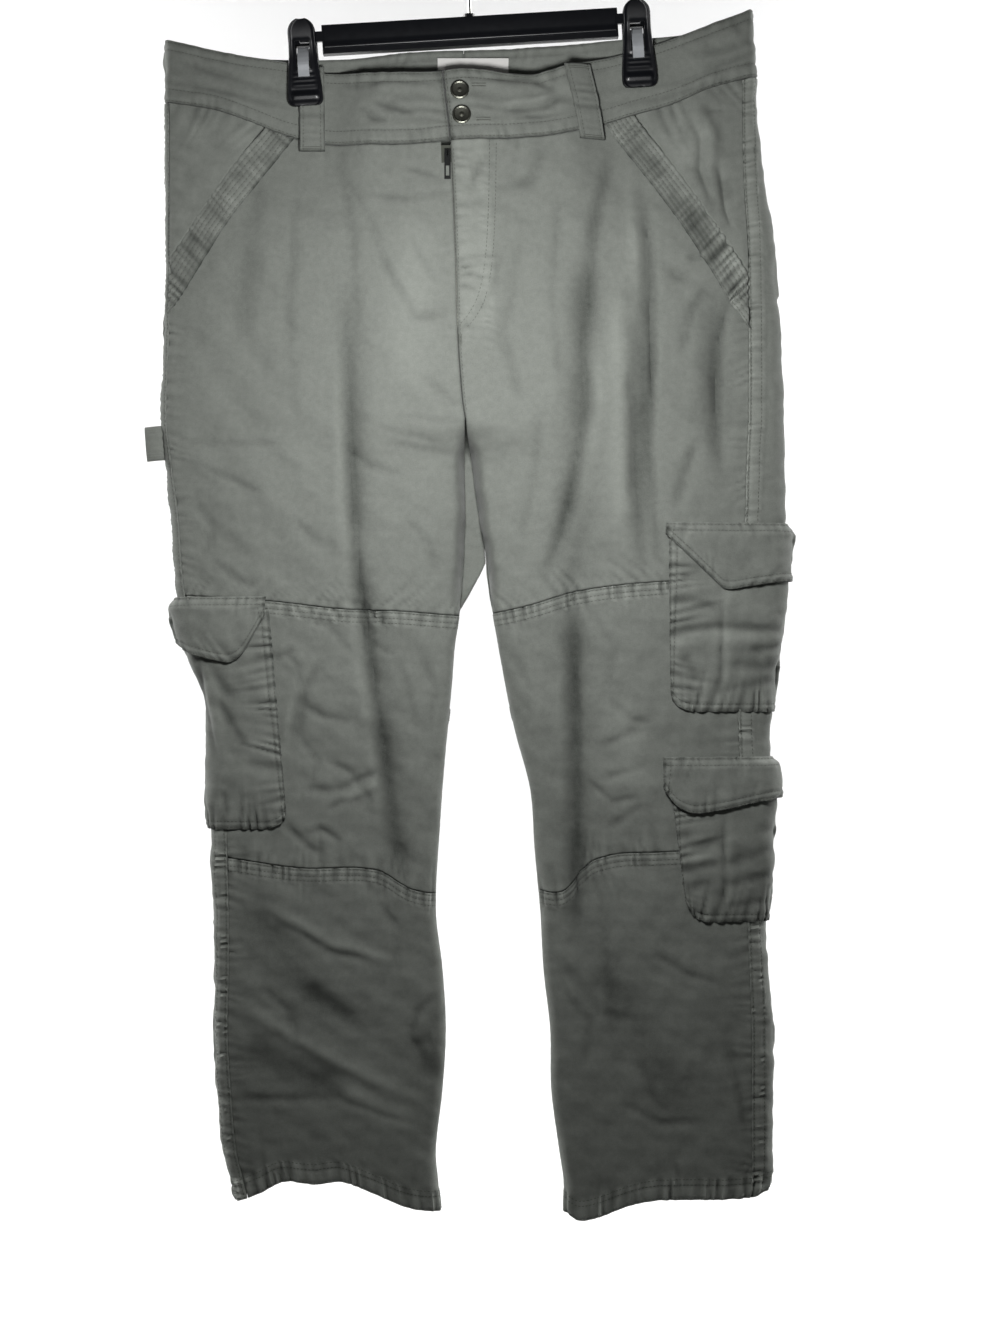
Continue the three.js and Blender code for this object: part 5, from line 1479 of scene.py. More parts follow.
@dataclass
class HipBand:
    """The slanted hip pocket: its stitched band and the cloth behind its opening."""

    side: Side
    half: float = 13.5
    rows: tuple[float, ...] = (-11.6, -7.4, -3.2, 1.0, 5.2, 9.4)

    def __post_init__(self) -> None:
        """Reads the band's middle line and works out the way across it."""
        self.x0, self.z0, self.x1, self.z1, self.bow = BAND_LINES[self.side]
        self.sign = LEGS[self.side].sign
        self.length = math.hypot(self.x1 - self.x0, self.z1 - self.z0)
        self.way = (self.sign * (self.z0 - self.z1) / self.length, self.sign * (self.x1 - self.x0) / self.length)

    def place(self, t: Array, s: Array) -> tuple[Array, Array]:
        """A place on the band.

        Args:
            t: share along it.
            s: distance across it.

        Returns:
            Its x and its height.
        """
        bow = self.bow * np.sin(math.pi * np.clip(t, 0, 1))
        return lerp(self.x0, self.x1, t) + bow + s * self.way[0], lerp(self.z0, self.z1, t) + s * self.way[1]

    def across(self, x: Array, z: Array) -> Array:
        """How far a place lies across the band.

        Args:
            x: its x.
            z: its height.

        Returns:
            Distances, above zero toward the garment's corner.
        """
        t = ((x - self.x0) * (self.x1 - self.x0) + (z - self.z0) * (self.z1 - self.z0)) / self.length**2
        px, pz = self.place(t, np.zeros_like(t))
        return (x - px) * self.way[0] + (z - pz) * self.way[1]

    def solve(self, test: Callable[[Array], Array], low: float, high: float, shape: tuple[int, ...]) -> Array:
        """Where a rising test turns true, at each place.

        Args:
            test: says for each place whether its value is high enough.
            low: a value that is too low.
            high: a value that is high enough.
            shape: the places' shape.

        Returns:
            The values.
        """
        a, b = np.full(shape, float(low)), np.full(shape, float(high))
        for _ in range(24):
            middle = (a + b) / 2
            true = test(middle)
            a, b = np.where(true, a, middle), np.where(true, middle, b)
        return b

    def make(self, finishes: Finishes, sewing: Sewing) -> None:
        """Builds the band and the facing.

        Args:
            finishes: the garment's finishes.
            sewing: where its stitch rows are gathered.
        """
        form, side = LEGS[self.side], self.side.value
        s = np.linspace(-self.half, self.half, 27)

        def below_waistband(t: Array) -> Array:
            """Whether the band has left the waistband."""
            x, z = self.place(t, s)
            return z < WAIST_FOOT[Face.FRONT](x) - 0.7

        def past_seam(t: Array) -> Array:
            """Whether the band has reached the side seam."""
            x, z = self.place(t, s)
            return np.abs(x) > np.abs(form.seam_x(z)) - 0.7

        start = self.solve(below_waistband, -0.4, 0.4, s.shape)
        end = self.solve(past_seam, 0.5, 1.5, s.shape)
        v = np.linspace(0, 1, 100)[:, None]
        x, z = self.place(lerp(start[None], end[None], v), s[None])
        points = form.face_points(Face.FRONT, x, z)
        down = arc(points, 0)
        swell = 0.55 + 0.9 * bell(v, 1.0, 0.22) + 0.3 * bell(v, 0, 0.16)
        if self.side is Side.LEFT:
            swell = swell + 1.5 * bell(v, 0.8, 0.09) * smooth(-14, 4, s[None])
        ripples = swell * pucker(down + 0.5 * s[None], 0 * s[None], 1.0, 8.0, 1.0, 2.0 + self.sign)
        channels = sum(-0.42 * bell(s[None], row, 1.1) for row in self.rows)
        relief = ripples + channels + unevenness(x, z, -1.0)
        out = LAY + OVERLAY + 1.5 * (1 - v) ** 3 + relief + 1.5 * smooth(self.half - 4, -self.half, s[None])
        # Painted shade: a dark line along the band's inner edge, where its shadow falls.
        shade = relief + 1.5 * painted_joint_shade(points, ("inner",), 1.4)
        name, front = f"hip_pocket_band_{side}", np.full(points.shape[:2], -1.0)
        shell = Shell(name, points, front, out, 1.3, roll=1.4, relief=shade)
        wear(shell, finishes.twill)
        for row in self.rows:
            j = int(np.argmin(np.abs(s - row)))
            sewing.sew("hip", shell.outer(THREAD_LIFT)[:, j], shell.way[:, j])
        self.facing(form, finishes)

    def facing(self, form: LegForm, finishes: Finishes) -> None:
        """Builds the cloth behind the opening.

        Args:
            form: the leg's form.
            finishes: the garment's finishes.
        """
        under = self.half - 12

        def share(z: Array) -> Array:
            """How far along the band the facing's inner edge is at a height."""
            return (z - self.way[1] * under - self.z0) / (self.z1 - self.z0)

        def past_seam(drop: Array) -> Array:
            """Whether the facing's inner edge has come to the side seam, at distances down."""
            return np.abs(self.place(share(-drop), under)[0]) > np.abs(form.seam_x(-drop)) - 4

        low = float(self.solve(past_seam, 250, 420, (1,))[0])
        u, v = np.linspace(0, 1, 56)[None, :], np.linspace(0, 1, 70)[:, None]
        x, z = np.full((70, 56), self.sign * 220.0), np.full((70, 56), -200.0)
        for _ in range(10):
            z = lerp(WAIST_FOOT[Face.FRONT](x) - 4 * GAP, -low, v)
            x = lerp(self.place(share(z), under)[0], form.seam_x(z) - self.sign * 0.5, u)
        s = (x - self.x0) * self.way[0] + (z - self.z0) * self.way[1]
        deep = lerp(-2.7, 2.2, smooth(self.half - 0.6, self.half + 2.4, s))
        deep = deep - 1.0 * smooth(self.half + 6, self.half + 40, s)
        points = form.face_points(Face.FRONT, x, z)
        relief = relief_of(points, FACING_SEAMS, 3.0 + self.sign)
        relief = relief + 0.5 * unevenness(x, z, -1.0) * smooth(1.0, 0.8, u)
        relief = relief * smooth(self.half - 2, self.half + 12, s)
        name = f"hip_facing_{self.side.value}"
        # Its relief also paints light on the ridges and shade in the troughs.
        shell = Shell(name, points, np.full(points.shape[:2], -1.0), deep + relief, 1.1, relief=relief)
        wear(shell, finishes.twill)


@dataclass
class Waistband:
    """One half of the waistband, from the fly round to the centre back."""

    side: Side
    proud: float = 0.9
    wall: float = 2.2
    middle: float = -160.0
    buttonhole_heights: tuple[float, float] = (-147.6, -179.0)

    def make(self, finishes: Finishes, sewing: Sewing) -> None:
        """Builds the band with its gathers and topstitching.

        Args:
            finishes: the garment's finishes.
            sewing: where its stitch rows are gathered.
        """
        form = LEGS[self.side]

        def place(q: Array, z: Array) -> Array:
            """The ring place at a share round the band."""
            return 2 * q + 0 * z

        def middle_row(q: Array) -> Array:
            """Points round the band at the height of its middle."""
            return form.ring(2 * q, np.full(q.shape, self.middle))

        across = paced(middle_row, 0.9, 2.1)
        points, sign = ring_grid(form, place, WAIST_TOP, WAIST_FOOT, across, dense(64, 0.8, 1.9))
        relief = relief_of(points, BAND_SEAMS, 2.0 + form.sign)
        run, down = arc(points, 1), arc(points, 0)
        # Short horizontal gathers between the rows of topstitching.
        gathers = 0.9 * wander(down + 4.0 * np.sin(run / 29.0) + 1.6 * np.sin(run / 11.0), 13, 1.0)
        gathers = gathers * bell(down, 28, 19) * (0.55 + 0.45 * np.sin(run / 21.0 + 1.0))
        relief += gathers
        pressed = 1 - 0.75 * form.pinch.share(points[..., 0], points[..., 2])
        # Painted light and shade: the creases and the joints darken the band's colour.
        shade = relief * pressed + FRONT_CREASE * creases(points, sign) + painted_joint_shade(points)
        relief = (relief + unevenness(points[..., 0], points[..., 2], sign)) * pressed
        name = f"waistband_{self.side.value}"
        shell = Shell(name, points, sign, self.proud + relief, self.wall, roll=1.8, relief=shade)
        wear(shell, finishes.twill)
        sewing.sew_edges("waist", shell, BAND_SEAMS)
        if self.side is Side.LEFT:
            self.buttonholes(shell, sewing)

    def buttonholes(self, shell: Shell, sewing: Sewing) -> None:
        """Sews the two buttonholes' dense edges, which show beside the buttons.

        Args:
            shell: the waistband's cloth.
            sewing: where the stitch rows are gathered.
        """
        outer, front = shell.outer(0.12), shell.points[:, :, 1].mean(axis=0) < 0
        columns = np.flatnonzero(front & (outer[30, :, 0] > 12) & (outer[30, :, 0] < 26))
        for height in self.buttonhole_heights:
            for lift in (-1.2, 1.2):
                row = [[np.interp(-height - lift, -outer[:, j, 2], outer[:, j, k]) for k in range(3)] for j in columns]
                sewing.sew("waist", np.array(row), shell.way[30, columns], pitch=1.1, length=1.7, width=0.8)


@dataclass
class CargoPocket:
    """A cargo pocket with its flap, wrapped round the side of a leg."""

    name: str
    side: Side
    x0: float
    x1: float
    top: float
    foot: float
    corner: float
    reach: float
    flap_x: float
    flap_top: float
    flap_foot: tuple[tuple[float, float], ...]
    pleats: tuple[Fold, ...] = ()
    bulge: float = 3.0
    flap_drop: float = 54.0

    def wrap(
        self, front_x: Array, reach: float, top: float, foot: Array, u: Array, v: Array
    ) -> tuple[Array, Array]:
        """A grid of points from the front round to the back.

        Args:
            front_x: the x of the front edge, at each v.
            reach: how far the grid reaches in from the leg's outer edge behind.
            top: height of the upper edge.
            foot: height of the lower edge, at each u.
            u: shares round the leg.
            v: shares down it.

        Returns:
            The points, and -1 or +1 for the front or back at each.
        """
        form = LEGS[self.side]
        z = lerp(top, foot, v)
        start = form.ring_at(Face.FRONT, front_x + 0 * z, z)
        stop = form.ring_at(Face.BACK, form.outer(z) - form.sign * reach, z)
        w = lerp(start, stop, u)
        return form.ring(w, z), np.where(w <= 1, -1.0, 1.0)

    def swell(self, u: Array, v: Array) -> Array:
        """How far the pocket stands off the leg."""
        return self.bulge * np.sin(math.pi * np.clip(u, 0, 1)) ** 0.7 * (0.6 + 0.4 * smooth(0, 0.2, v)) * (1 - v**8)

    def make(self, finishes: Finishes, sewing: Sewing) -> None:
        """Builds the pocket and the flap.

        Args:
            finishes: the garment's finishes.
            sewing: where their stitch rows are gathered.
        """
        width = abs(LEGS[self.side].outer(np.array(self.top)) - self.x0) + self.reach
        u = dense(float(width), 0.8, 2.0)[None, :]
        self.pocket(u, finishes, sewing)
        self.flap(u, finishes, sewing)

    def pocket(self, u: Array, finishes: Finishes, sewing: Sewing) -> None:
        """Builds the pocket.

        Args:
            u: shares round the leg.
            finishes: the garment's finishes.
            sewing: where its stitch rows are gathered.
        """
        v = dense(self.top - self.foot, 0.8, 1.9)[:, None]
        into_corner = np.maximum(0, 1 - np.minimum(u, 1 - u) / 0.12)
        foot = self.foot + self.corner * (1 - np.sqrt(1 - into_corner**2))
        points, sign = self.wrap(lerp(self.x0, self.x1, v), self.reach, self.top, foot, u, v)
        swells = unevenness(points[..., 0], points[..., 2], sign)
        relief = relief_of(points, POCKET_SEAMS, 4.0 + self.x0) + swells
        for pleat in self.pleats:
            relief += np.where(sign < 0, pleat.height(points[..., 0], points[..., 2]), 0)
        out = POCKET_LAY + OVERLAY + self.swell(u, v) + relief
        # Painted shade along the pocket's inner and lower joints, and painted light and shade from its relief.
        shade = relief - 0.8 * swells + painted_joint_shade(points, ("inner", "foot"), 1.8)
        shell = Shell(f"cargo_pocket_{self.name}", points, sign, out, 1.4, roll=1.7, relief=shade)
        wear(shell, finishes.twill)
        sewing.sew_edges("pockets", shell, POCKET_SEAMS)

    def flap(self, u: Array, finishes: Finishes, sewing: Sewing) -> None:
        """Builds the flap.

        Args:
            u: shares round the leg.
            finishes: the garment's finishes.
            sewing: where its stitch rows are gathered.
        """
        v = dense(self.flap_drop, 0.8, 2.0)[:, None]
        foot = Curve(self.flap_foot)(u)
        points, sign = self.wrap(self.flap_x + 0 * v, self.reach + 4, self.flap_top, foot, u, v)
        swells = unevenness(points[..., 0], points[..., 2], sign) + 0.8 * wander(arc(points, 1), 46, self.x0) * v
        relief = relief_of(points, FLAP_SEAMS, 7.0 + self.x0) + swells
        lift = smooth(0, 0.2, v) * (2.9 + 1.8 * v + self.swell(u, np.full_like(v, 0.3)))
        out = POCKET_LAY + OVERLAY + lift + relief
        # Painted shade along the flap's inner and lower joints, and painted light and shade from its relief.
        shade = relief - 0.8 * swells + painted_joint_shade(points, ("inner", "foot"), 1.8)
        shell = Shell(f"cargo_flap_{self.name}", points, sign, out, 1.4, roll=1.7, relief=shade)
        wear(shell, finishes.twill)
        sewing.sew_edges("flaps", shell, FLAP_SEAMS)


@dataclass
class Trims:
    """Belt loops, hammer loop, label, zip tape and the fly's stitching."""

    finishes: Finishes
    sewing: Sewing
    loop_half: float = 11.5

    def belt_loops(self) -> None:
        """Builds the five belt loops."""
        rows = (
            ("front_right", Face.FRONT, -136, -135, -129, -206, 0.4),
            ("front_left", Face.FRONT, 102, 115, -128, -196, 2.2),
            ("back_right", Face.BACK, -92, -94, -121, -192, 2.2),
            ("back_centre", Face.BACK, 1, 2, -113, -188, 2.2),
            ("back_left", Face.BACK, 104, 106, -109, -178, 2.2),
        )
        for name, face, x0, x1, top, foot, bow in rows:
            u, v = np.linspace(0, 1, 20)[None, :], np.linspace(0, 1, 46)[:, None]
            x = lerp(x0, x1, v) + lerp(-self.loop_half, self.loop_half, u)
            z = lerp(top, foot, v) + 0 * u
            points = LEGS[Side.LEFT].face_points(face, x, z)
            relief = 0.3 * wander(77 * v, 10, x0) * bell(u, 0.5, 0.35)
            relief = relief - 0.25 * (bell(u, 0.17, 0.05) + bell(u, 0.83, 0.05))
            sign = -1.0 if face is Face.FRONT else 1.0
            folds = -1.1 * bell(v, 0.57, 0.035) - 0.5 * bell(v, 0.36, 0.03)
            folds = folds - 1.6 * bell(v, 1, 0.02)
            out = 2.0 + 1.4 * v + LAY + OVERLAY + bow * np.sin(math.pi * v) ** 2 + relief + folds
            # Painted shade in the loop's folds and round its edges.
            shade = relief + folds + painted_joint_shade(points, EDGES, 1.1)
            signs = np.full(points.shape[:2], sign)
            shell = Shell(f"belt_loop_{name}", points, signs, out, 1.9, roll=1.2, relief=shade)
            wear(shell, self.finishes.twill)
            ways = shell.way
            for j in (3, 16):
                self.sewing.sew("waist", shell.outer(THREAD_LIFT)[:, j], ways[:, j])
            for i in (2, 3, 43, 44):
                tack = shell.outer(0.1)[i, 2:18]
                self.sewing.sew("waist", tack, ways[i, 2:18], pitch=1.3, length=2.0)

    def hammer_loop(self) -> None:
        """Builds the strap that stands out from the right side seam."""
        u, v = np.linspace(-1, 1, 18)[None, :], np.linspace(0, 1, 70)[:, None]
        turn = math.pi * v
        drop, stand = -np.sign(np.cos(turn)) * np.abs(np.cos(turn)) ** 0.55, np.abs(np.sin(turn)) ** 0.6
        base = float(LEGS[Side.RIGHT].outer(np.array(-468.0)))
        # The strap is turned flat toward the front, with its inner edge standing off the leg.
        x = base - 6.2 + 9.2 * u + 1.2 * drop + 0 * v
        y = -1.5 - 5.0 * stand + 1.6 * u * u + 1.2 * u * stand
        points = np.stack([x, y, -467.0 - 15.5 * drop + 0.8 * u], axis=-1)
        n = np.cross(np.gradient(points, axis=1), np.gradient(points, axis=0))
        n = n / np.linalg.norm(n, axis=-1, keepdims=True)
        n = n if n[35, 9, 1] < 0 else -n
        relief = 0.15 * wander(90 * v, 9, 1.0) + 0 * u
        shell = Shell("hammer_loop", points, np.ones(points.shape[:2]), relief, 1.5, relief=relief, way=n)
        wear(shell, self.finishes.twill)

    def label(self) -> None:
        """Builds the blank label inside the back of the waistband."""
        u, v = np.linspace(0, 1, 40)[None, :], np.linspace(0, 1, 22)[:, None]
        points = LEGS[Side.LEFT].face_points(Face.BACK, lerp(-23, 41, u) + 0 * v, lerp(-118.5, -158, v) + 0 * u)
        relief = 0.12 * np.sin(9 * u + 2) * np.sin(5 * v)
        shell = Shell("label", points, np.ones(points.shape[:2]), -3.1 + relief, 0.7, relief=relief)
        wear(shell, self.finishes.label)

    def zip(self) -> None:
        """Builds the zip's tape and its teeth."""
        u, v = np.linspace(0, 1, 14)[None, :], np.linspace(0, 1, 80)[:, None]
        z = lerp(-202, -372, v) + 0 * u
        x = CENTRE_FRONT(z) + 1 + lerp(-13, 13, u)
        points = LEGS[Side.LEFT].face_points(Face.FRONT, x, z)
        shell = Shell("zip_tape", points, np.full(points.shape[:2], -1.0), np.full(points.shape[:2], -2.15), 1.0)
        wear(shell, self.finishes.tape)
        heights = np.arange(-222, -366, -1.5)
        middle = CENTRE_FRONT(heights) + 1 + 1.1 * np.where(np.arange(len(heights)) % 2, 1, -1)
        at = LEGS[Side.LEFT].face_points(Face.FRONT, middle, heights) + (0, 1.75, 0)
        ahead, up = np.tile([1.0, 0, 0], (len(at), 1)), np.tile([0, -1.0, 0], (len(at), 1))
        sizes = np.tile([1.5, 0.45, 0.45], (len(at), 1))
        repeat("zip_teeth", [at, ahead, up], sizes, Unit.CUBE, self.finishes.brass)

    def fly(self, thigh: Shell) -> None:
        """Sews the fly's curved double row, its edge and its bar tack.

        Args:
            thigh: the left front thigh's cloth.
        """
        outer = thigh.outer(0.08).reshape(-1, 3)
        ways = thigh.way.reshape(-1, 3)
        hidden = np.where(ways[None, :, 1] > -0.2, 1e6, 0)  # keeps to the cloth that faces the front

        def on_cloth(x: Array, z: Array) -> tuple[Array, Array]:
            """Lays a row on the cloth.

            Args:
                x: the row's x.
                z: its heights.

            Returns:
                Its points and their outward ways.
            """
            apart = (outer[None, :, 0] - x[:, None]) ** 2 + (outer[None, :, 2] - z[:, None]) ** 2
            near = np.argsort(apart + hidden, axis=1)[:, :4]
            y = outer[near, 1].mean(axis=1)
            return np.stack([x, y, z], axis=1), ways[near[:, 0]]

        curve = Curve(((-200, 30), (-260, 29), (-310, 26), (-340, 20), (-358, 11), (-368, 2)))
        z = np.linspace(-200, -366, 160)
        for shift in (0, -6):
            self.sewing.sew("fly", *on_cloth(curve(z) + shift * (1 + 0 * z), z + (0 if shift == 0 else 3)))
        z = np.linspace(-205, -440, 140)
        self.sewing.sew("fly", *on_cloth(CENTRE_FRONT(z) + 2.2, z))
        z = np.linspace(-372, -381, 10)
        for shift in (0.6, 1.8, 3.0):
            self.sewing.sew("fly", *on_cloth(CENTRE_FRONT(z) + shift, z), pitch=1.0, length=1.8)

    def make(self, thigh: Shell) -> None:
        """Builds them all.

        Args:
            thigh: the left front thigh's cloth, which the fly is sewn to.
        """
        self.belt_loops()
        self.hammer_loop()
        self.label()
        self.zip()
        self.fly(thigh)


@dataclass(frozen=True)
class Jaw:
    """One jaw of a clip: a moulded plate with a rim, a window and a ribbed foot, in heights from its middle."""

    top: float = 38
    foot: float = -39
    wall: float = 2.6
    top_half: float = 12.5
    foot_half: float = 16
    spread: float = 13
    corner: float = 6

    def half(self, h: Array) -> Array:
        """Half the width, which is round at the top and has rounded corners at the foot.

        Args:
            h: heights from the jaw's middle.

        Returns:
            Half widths.
        """
        arch = np.sqrt(1 - np.clip((h - self.top + self.top_half) / (self.top_half + 0.6), 0, 1) ** 2)
        bend = np.clip(1 - (h - self.foot) / self.corner, 0, 1)
        width = lerp(self.top_half, self.foot_half, smooth(self.top - 20, self.foot + 6, h)) * arch
        return width - self.corner * (1 - np.sqrt(1 - bend**2))

    def make(self, name: str, sign: float, place: tuple[float, float], grip: float, finish: bpy.types.Material) -> None:
        """Builds the jaw over its CAD node.

        Args:
            name: the CAD node.
            sign: -1 for the jaw in front and 1 for the one behind.
            place: x and height of the clip's middle.
            grip: how far the jaw's inner face stands from the middle plane.
            finish: the plastic.
        """
        h = self.top - dense(self.top - self.foot, 0.5, 1.1)[:, None] * (self.top - self.foot)
        u = 2 * dense(2 * self.foot_half, 0.5, 1.1)[None, :] - 1
        x, h = u * self.half(h), h + 0 * u
        y = grip + smooth(-12, 8, h) * (6.5 - min(grip, 6.5)) + smooth(4, self.top, h) * (self.spread - 6.5) + self.wall
        cos, sin = math.cos(CLIP_LEAN), math.sin(CLIP_LEAN)
        points = np.stack([place[0] + x * cos - h * sin, sign * y, place[1] + x * sin + h * cos], axis=-1)
        rim = 0.9 * smooth(3.2, 1.6, self.half(h) - np.abs(x))
        foot = 1.5 * bell(h, -30, 2.6) + 0.5 * bell(h, -36, 2.2)
        foot = foot - 0.6 * bell(h, -25, 1.5)
        middle = smooth(13.5, 10, np.abs(x))
        ribs = 0.35 * np.sin(h * 1.5) * smooth(-9, -12, h) * smooth(-24, -20, h) * smooth(11, 8, np.abs(x))
        from_window = np.maximum(np.abs(x) - 6.5, 0) + np.maximum(np.abs(h - 6) - 13, 0)
        lip = 0.8 * bell(from_window, 0, 1.4)
        relief, signs = rim + foot * middle + ribs + lip, np.full(x.shape, sign)
        shell = Shell(f"{name}_moulding", points, signs, relief, self.wall + 0.9, roll=1.1)
        hole = (np.abs(x) < 6.6) & (h < 19.2) & (h > -7.2)
        shell.mask = ~(hole[:-1, :-1] & hole[1:, 1:] & hole[:-1, 1:] & hole[1:, :-1])
        wear(shell, finish, node=name)


@dataclass
class Hanger:
    """The clip hanger and the garment's metal."""

    finishes: Finishes
    bar_middle: float = -96.5
    bar_half: float = 131.0

    def moulding(self) -> None:
        """Adds the bar's raised front face, with a round lip over its plain lower edge."""
        along, d = np.linspace(-self.bar_half, self.bar_half, 90)[None, :], dense(21.0, 0.25, 1.0)[:, None] * 21.0
        down, up = 12.5 - d, 21.0 - d
        cos, sin = math.cos(CLIP_LEAN), math.sin(CLIP_LEAN)
        x, z = HOOK_X + along * cos - down * sin, self.bar_middle + along * sin + down * cos
        points = np.stack([x, -5.0 + 0 * along * d, z], axis=-1)
        lip = 1.6 * np.sqrt(1 - np.clip(1 - up / 1.6, 0, 1) ** 2) - 0.9 * smooth(1.6, 7.0, up)
        out = 0.5 + lip + 0.25 * np.sin(d / 4.4) + 0 * along
        front, way = np.full(points.shape[:2], -1.0), np.zeros(points.shape) + (0, -1, 0)
        shell = Shell("hanger_bar_moulding", points, front, out, 0.5, roll=0.0, way=way)
        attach(shell.build(self.finishes.plastic), BODY)

    def make(self, nodes: dict) -> None:
        """Gives each rigid node its finish and adds the moulded details.

        Args:
            nodes: the CAD nodes by name.
        """
        for name, obj in nodes.items():
            if name.startswith("clip_spring"):
                material = self.finishes.plate
            elif name == "hanger_hook":
                material = self.finishes.steel
            elif name.startswith("hanger_bar"):
                material = self.finishes.plastic
            elif name.startswith("button"):
                material = self.finishes.brass
            elif name.startswith("zip_"):
                material = self.finishes.dark_metal
            else:
                continue
            obj.data.materials.clear()
            obj.data.materials.append(material)
            LOG.info("dressed %s", name)
        for side, place, front in (("right", (-143, -126), 7.2), ("left", (157, -108.5), 4.8)):
            Jaw().make(f"clip_front_{side}", -1.0, place, front, self.finishes.plastic)
            Jaw().make(f"clip_back_{side}", 1.0, place, 4.8, self.finishes.plastic)
        self.moulding()


@dataclass(frozen=True)
class Lamp:
    """A soft round lamp that the camera doesn't see."""

    name: str
    at: tuple[float, float, float]
    aim: tuple[float, float, float]
    size: float
    power: float

    def add(self) -> None:
        """Adds the lamp, turned toward its aim."""
        data = bpy.data.lights.new(self.name, "AREA")
        data.shape, data.size, data.energy = "DISK", self.size, self.power
        obj = bpy.data.objects.new(self.name, data)
        obj.location = self.at
        way = np.array(self.aim, float) - np.array(self.at, float)
        flat = math.hypot(way[0], way[1])
        obj.rotation_euler = (math.atan2(flat, -way[2]), 0, math.atan2(way[1], way[0]) - math.pi / 2)
        obj.visible_camera = False
        bpy.context.scene.collection.objects.link(obj)


LAMPS = (
    Lamp("key", (0.0, -0.5, -0.37), (0.02, 0, -0.5), 0.14, 3.2),
    Lamp("side_left", (-1.3, -0.3, 0.3), (0, 0, -0.6), 0.3, 0.9),
    Lamp("backdrop_left", (-1.7, 0.55, 0.2), (-0.4, 1.3, -0.8), 1.0, 34),
    Lamp("backdrop_right", (1.7, 0.55, 0.2), (0.4, 1.3, -0.8), 1.0, 34),
    Lamp("behind_right", (-0.8, 1.1, -0.1), (0, 0, -0.55), 0.5, 1.5),
    Lamp("behind_left", (0.8, 1.1, -0.1), (0, 0, -0.55), 0.5, 1.5),
)


@dataclass
class Studio:
    """The pale floor and backdrop, the soft lamps and the camera."""

    distance: float = 2.2
    view_height: float = 1.1997
    middle: tuple[float, float] = (0.027, -0.6674)
    sensor: float = 24.0
    sky: float = 0.045

    def sweep(self) -> None:
        """Adds the floor that curves up into a backdrop."""
        profile = [(-0.05, -1.32), (0.7, -1.32)]
        profile += [(0.7 + 0.6 * math.sin(a), -0.72 - 0.6 * math.cos(a)) for a in np.linspace(0.1, math.pi / 2, 16)]
        profile += [(1.3, 1.6)]
        vertices = [(x, y, z) for y, z in profile for x in (-3.0, 3.0)]
        faces = [(2 * i, 2 * i + 1, 2 * i + 3, 2 * i + 2) for i in range(len(profile) - 1)]
        mesh = bpy.data.meshes.new("sweep")
        mesh.from_pydata(vertices, [], faces)
        mesh.shade_smooth()
        floor = Finish("white_paper", "f4f4f4", 0.9)
        floor.tint("f1f1f1", "f8f8f8", floor.noise(floor.place(), 400))
        floor.set(**{"Emission Color": srgb("ffffff"), "Emission Strength": 0.1})
        # Seen from behind, the paper is clear, so that the garment's back can be looked at.
        behind = floor.node("ShaderNodeNewGeometry").outputs["Backfacing"]
        clear = floor.node("ShaderNodeBsdfTransparent").outputs[0]
        mixed = floor.node("ShaderNodeMixShader", i0=behind, i1=floor.shader.outputs[0], i2=clear)
        floor.tree.links.new(mixed.outputs[0], floor.tree.nodes["Material Output"].inputs["Surface"])
        mesh.materials.append(floor.material)
        obj = bpy.data.objects.new("sweep", mesh)
        bpy.context.scene.collection.objects.link(obj)

    def camera(self) -> None:
        """Sets the camera level in front, on the middle of the view."""
        data = bpy.data.cameras.new("camera")
        data.sensor_fit, data.sensor_height = "VERTICAL", self.sensor
        data.lens = self.sensor * self.distance / self.view_height
        data.clip_end = 50
        obj = bpy.data.objects.new("camera", data)
        obj.location = (self.middle[0], -self.distance, self.middle[1])
        obj.rotation_euler = (math.pi / 2, 0, 0)
        bpy.context.scene.collection.objects.link(obj)
        bpy.context.scene.camera = obj

    def make(self) -> None:
        """Builds the studio."""
        self.sweep()
        self.camera()
        for lamp in LAMPS:
            lamp.add()
        world = bpy.data.worlds.new("studio")
        world.use_nodes = True
        sky = world.node_tree.nodes["Background"].inputs
        sky[0].default_value, sky[1].default_value = srgb("ffffff"), self.sky
        bpy.context.scene.world = world
        bpy.context.scene.view_settings.view_transform = "Standard"


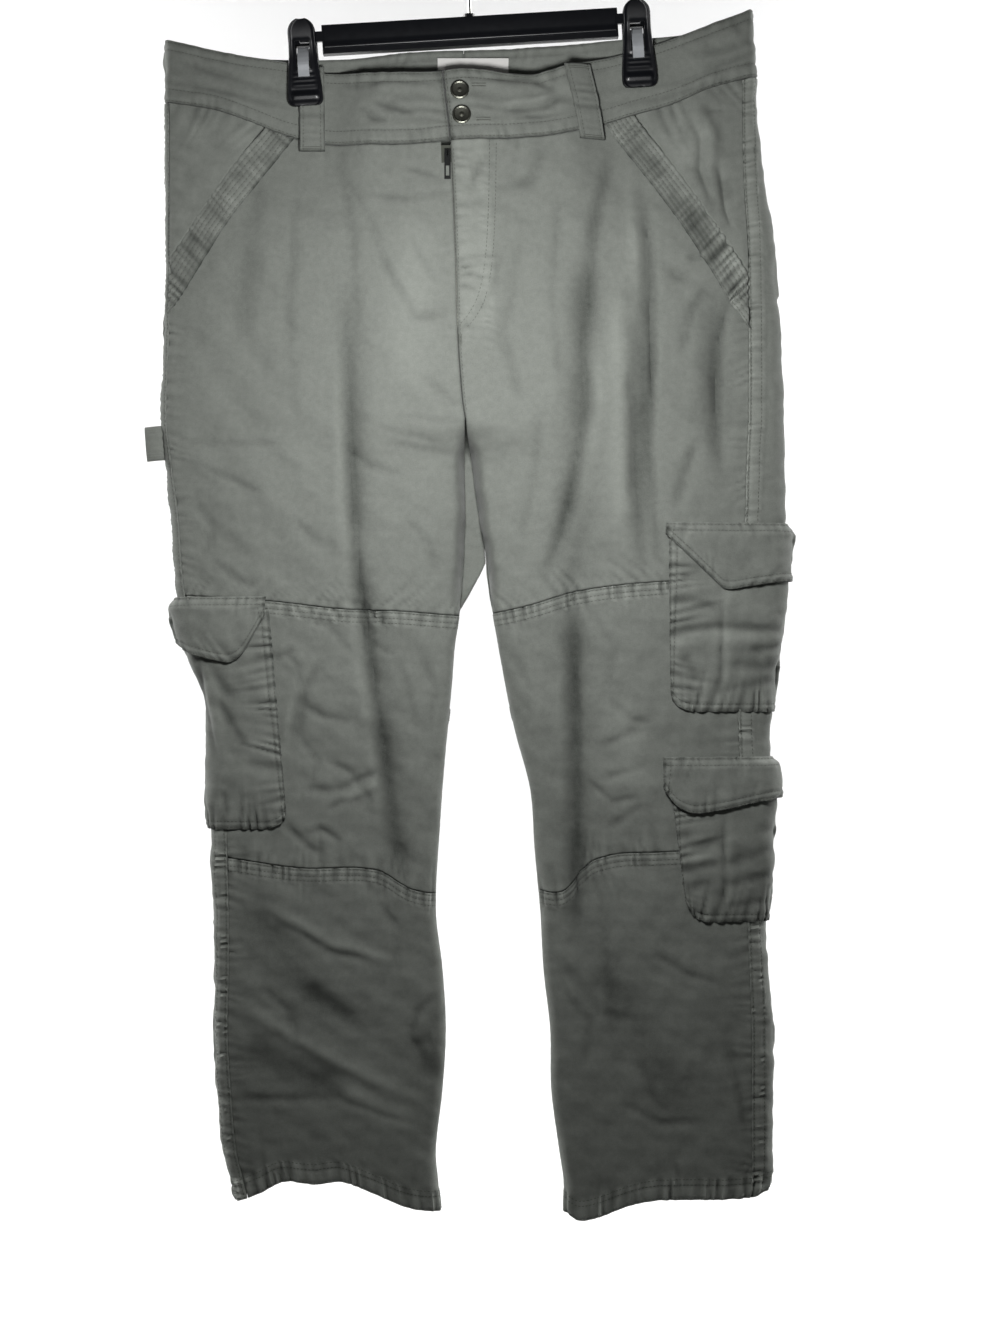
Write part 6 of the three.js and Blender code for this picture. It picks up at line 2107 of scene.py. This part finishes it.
POCKETS = (
    CargoPocket(
        "right", Side.RIGHT, -172, -157, -617, -813, 14, 78, -175, -605,
        ((0, -622), (0.1, -655), (0.18, -663), (0.5, -646), (1, -650)),
        (
            Fold(F, 2.2, -2.6, ((-234, -657), (-227, -693), (-219, -745))),
            Fold(F, 5.0, -1.8, ((-231, -655), (-217, -680), (-203, -699))),
            Fold(F, 4.5, -2.0, ((-222, -691), (-207, -716), (-192, -741))),
            Fold(F, 5.5, 1.2, ((-229, -660), (-221, -695), (-213, -747))),
            Fold(F, 2.4, -1.4, ((-214, -778), (-209, -800))),
        ),
    ),
    CargoPocket(
        "left_upper", Side.LEFT, 183, 185, -551, -708, 16, 62, 180, -539,
        ((0, -550), (0.1, -571), (0.2, -592.5), (0.225, -597.5), (0.26, -598.5), (0.32, -596), (0.5, -591), (1, -594)),
        (
            Fold(F, 1.8, -1.3, ((230, -603), (230, -706))),
            Fold(F, 3.6, 0.8, ((235, -603), (236, -706))),
            Fold(F, 4, -2.4, ((182, -636), (227, -631), (279, -634))),
            Fold(F, 7, 1.6, ((184, -645), (227, -641), (279, -643))),
            Fold(F, 4, -1.7, ((182, -607), (204, -609), (227, -615))),
            Fold(F, 4, -2, ((256, -653), (287, -649))),
            Fold(F, 5, -1.7, ((196, -657), (211, -681))),
            Fold(F, 4, -1.5, ((227, -689), (278, -680))),
            Fold(F, 4, -1.2, ((192, -681), (216, -696))),
            Fold(F, 3.5, -1.3, ((194, -590), (211, -580))),
            Fold(F, 5, -1.4, ((236, -665), (285, -669))),
        ),
    ),
    CargoPocket(
        "left_lower", Side.LEFT, 183, 198, -761, -896, 26, 70, 178, -748,
        ((0, -776), (0.06, -792), (0.15, -798), (0.5, -785), (1, -788)),
        (
            Fold(F, 1.8, -1.3, ((232, -801), (233, -891))),
            Fold(F, 3.6, 0.8, ((238, -801), (238, -891))),
            Fold(F, 4, -1.7, ((204, -830), (231, -822))),
            Fold(F, 4, -1.8, ((196, -850), (229, -842))),
            Fold(F, 4, -1.5, ((192, -871), (220, -859))),
            Fold(F, 5, -1.8, ((234, -843), (281, -828))),
            Fold(F, 5, -1.9, ((234, -863), (278, -852))),
            Fold(F, 4, -1.3, ((234, -882), (272, -876))),
            Fold(F, 6, 1.5, ((199, -840), (230, -832))),
        ),
    ),
)


def main() -> None:
    """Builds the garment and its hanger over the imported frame."""
    logging.basicConfig(level=logging.INFO, format="%(name)s: %(message)s")
    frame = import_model()
    studio = Studio()
    studio.make()
    finishes = Finishes()
    sewing = Sewing(finishes.thread)
    thigh = None
    for side in Side:
        thigh = LegPanels(side, finishes, sewing).make()
        HipBand(side).make(finishes, sewing)
        Waistband(side).make(finishes, sewing)
    for pocket in POCKETS:
        pocket.make(finishes, sewing)
    Trims(finishes, sewing).make(thigh)
    sewing.make()
    Hanger(finishes).make(frame["nodes"])


if __name__ == "__main__":
    main()
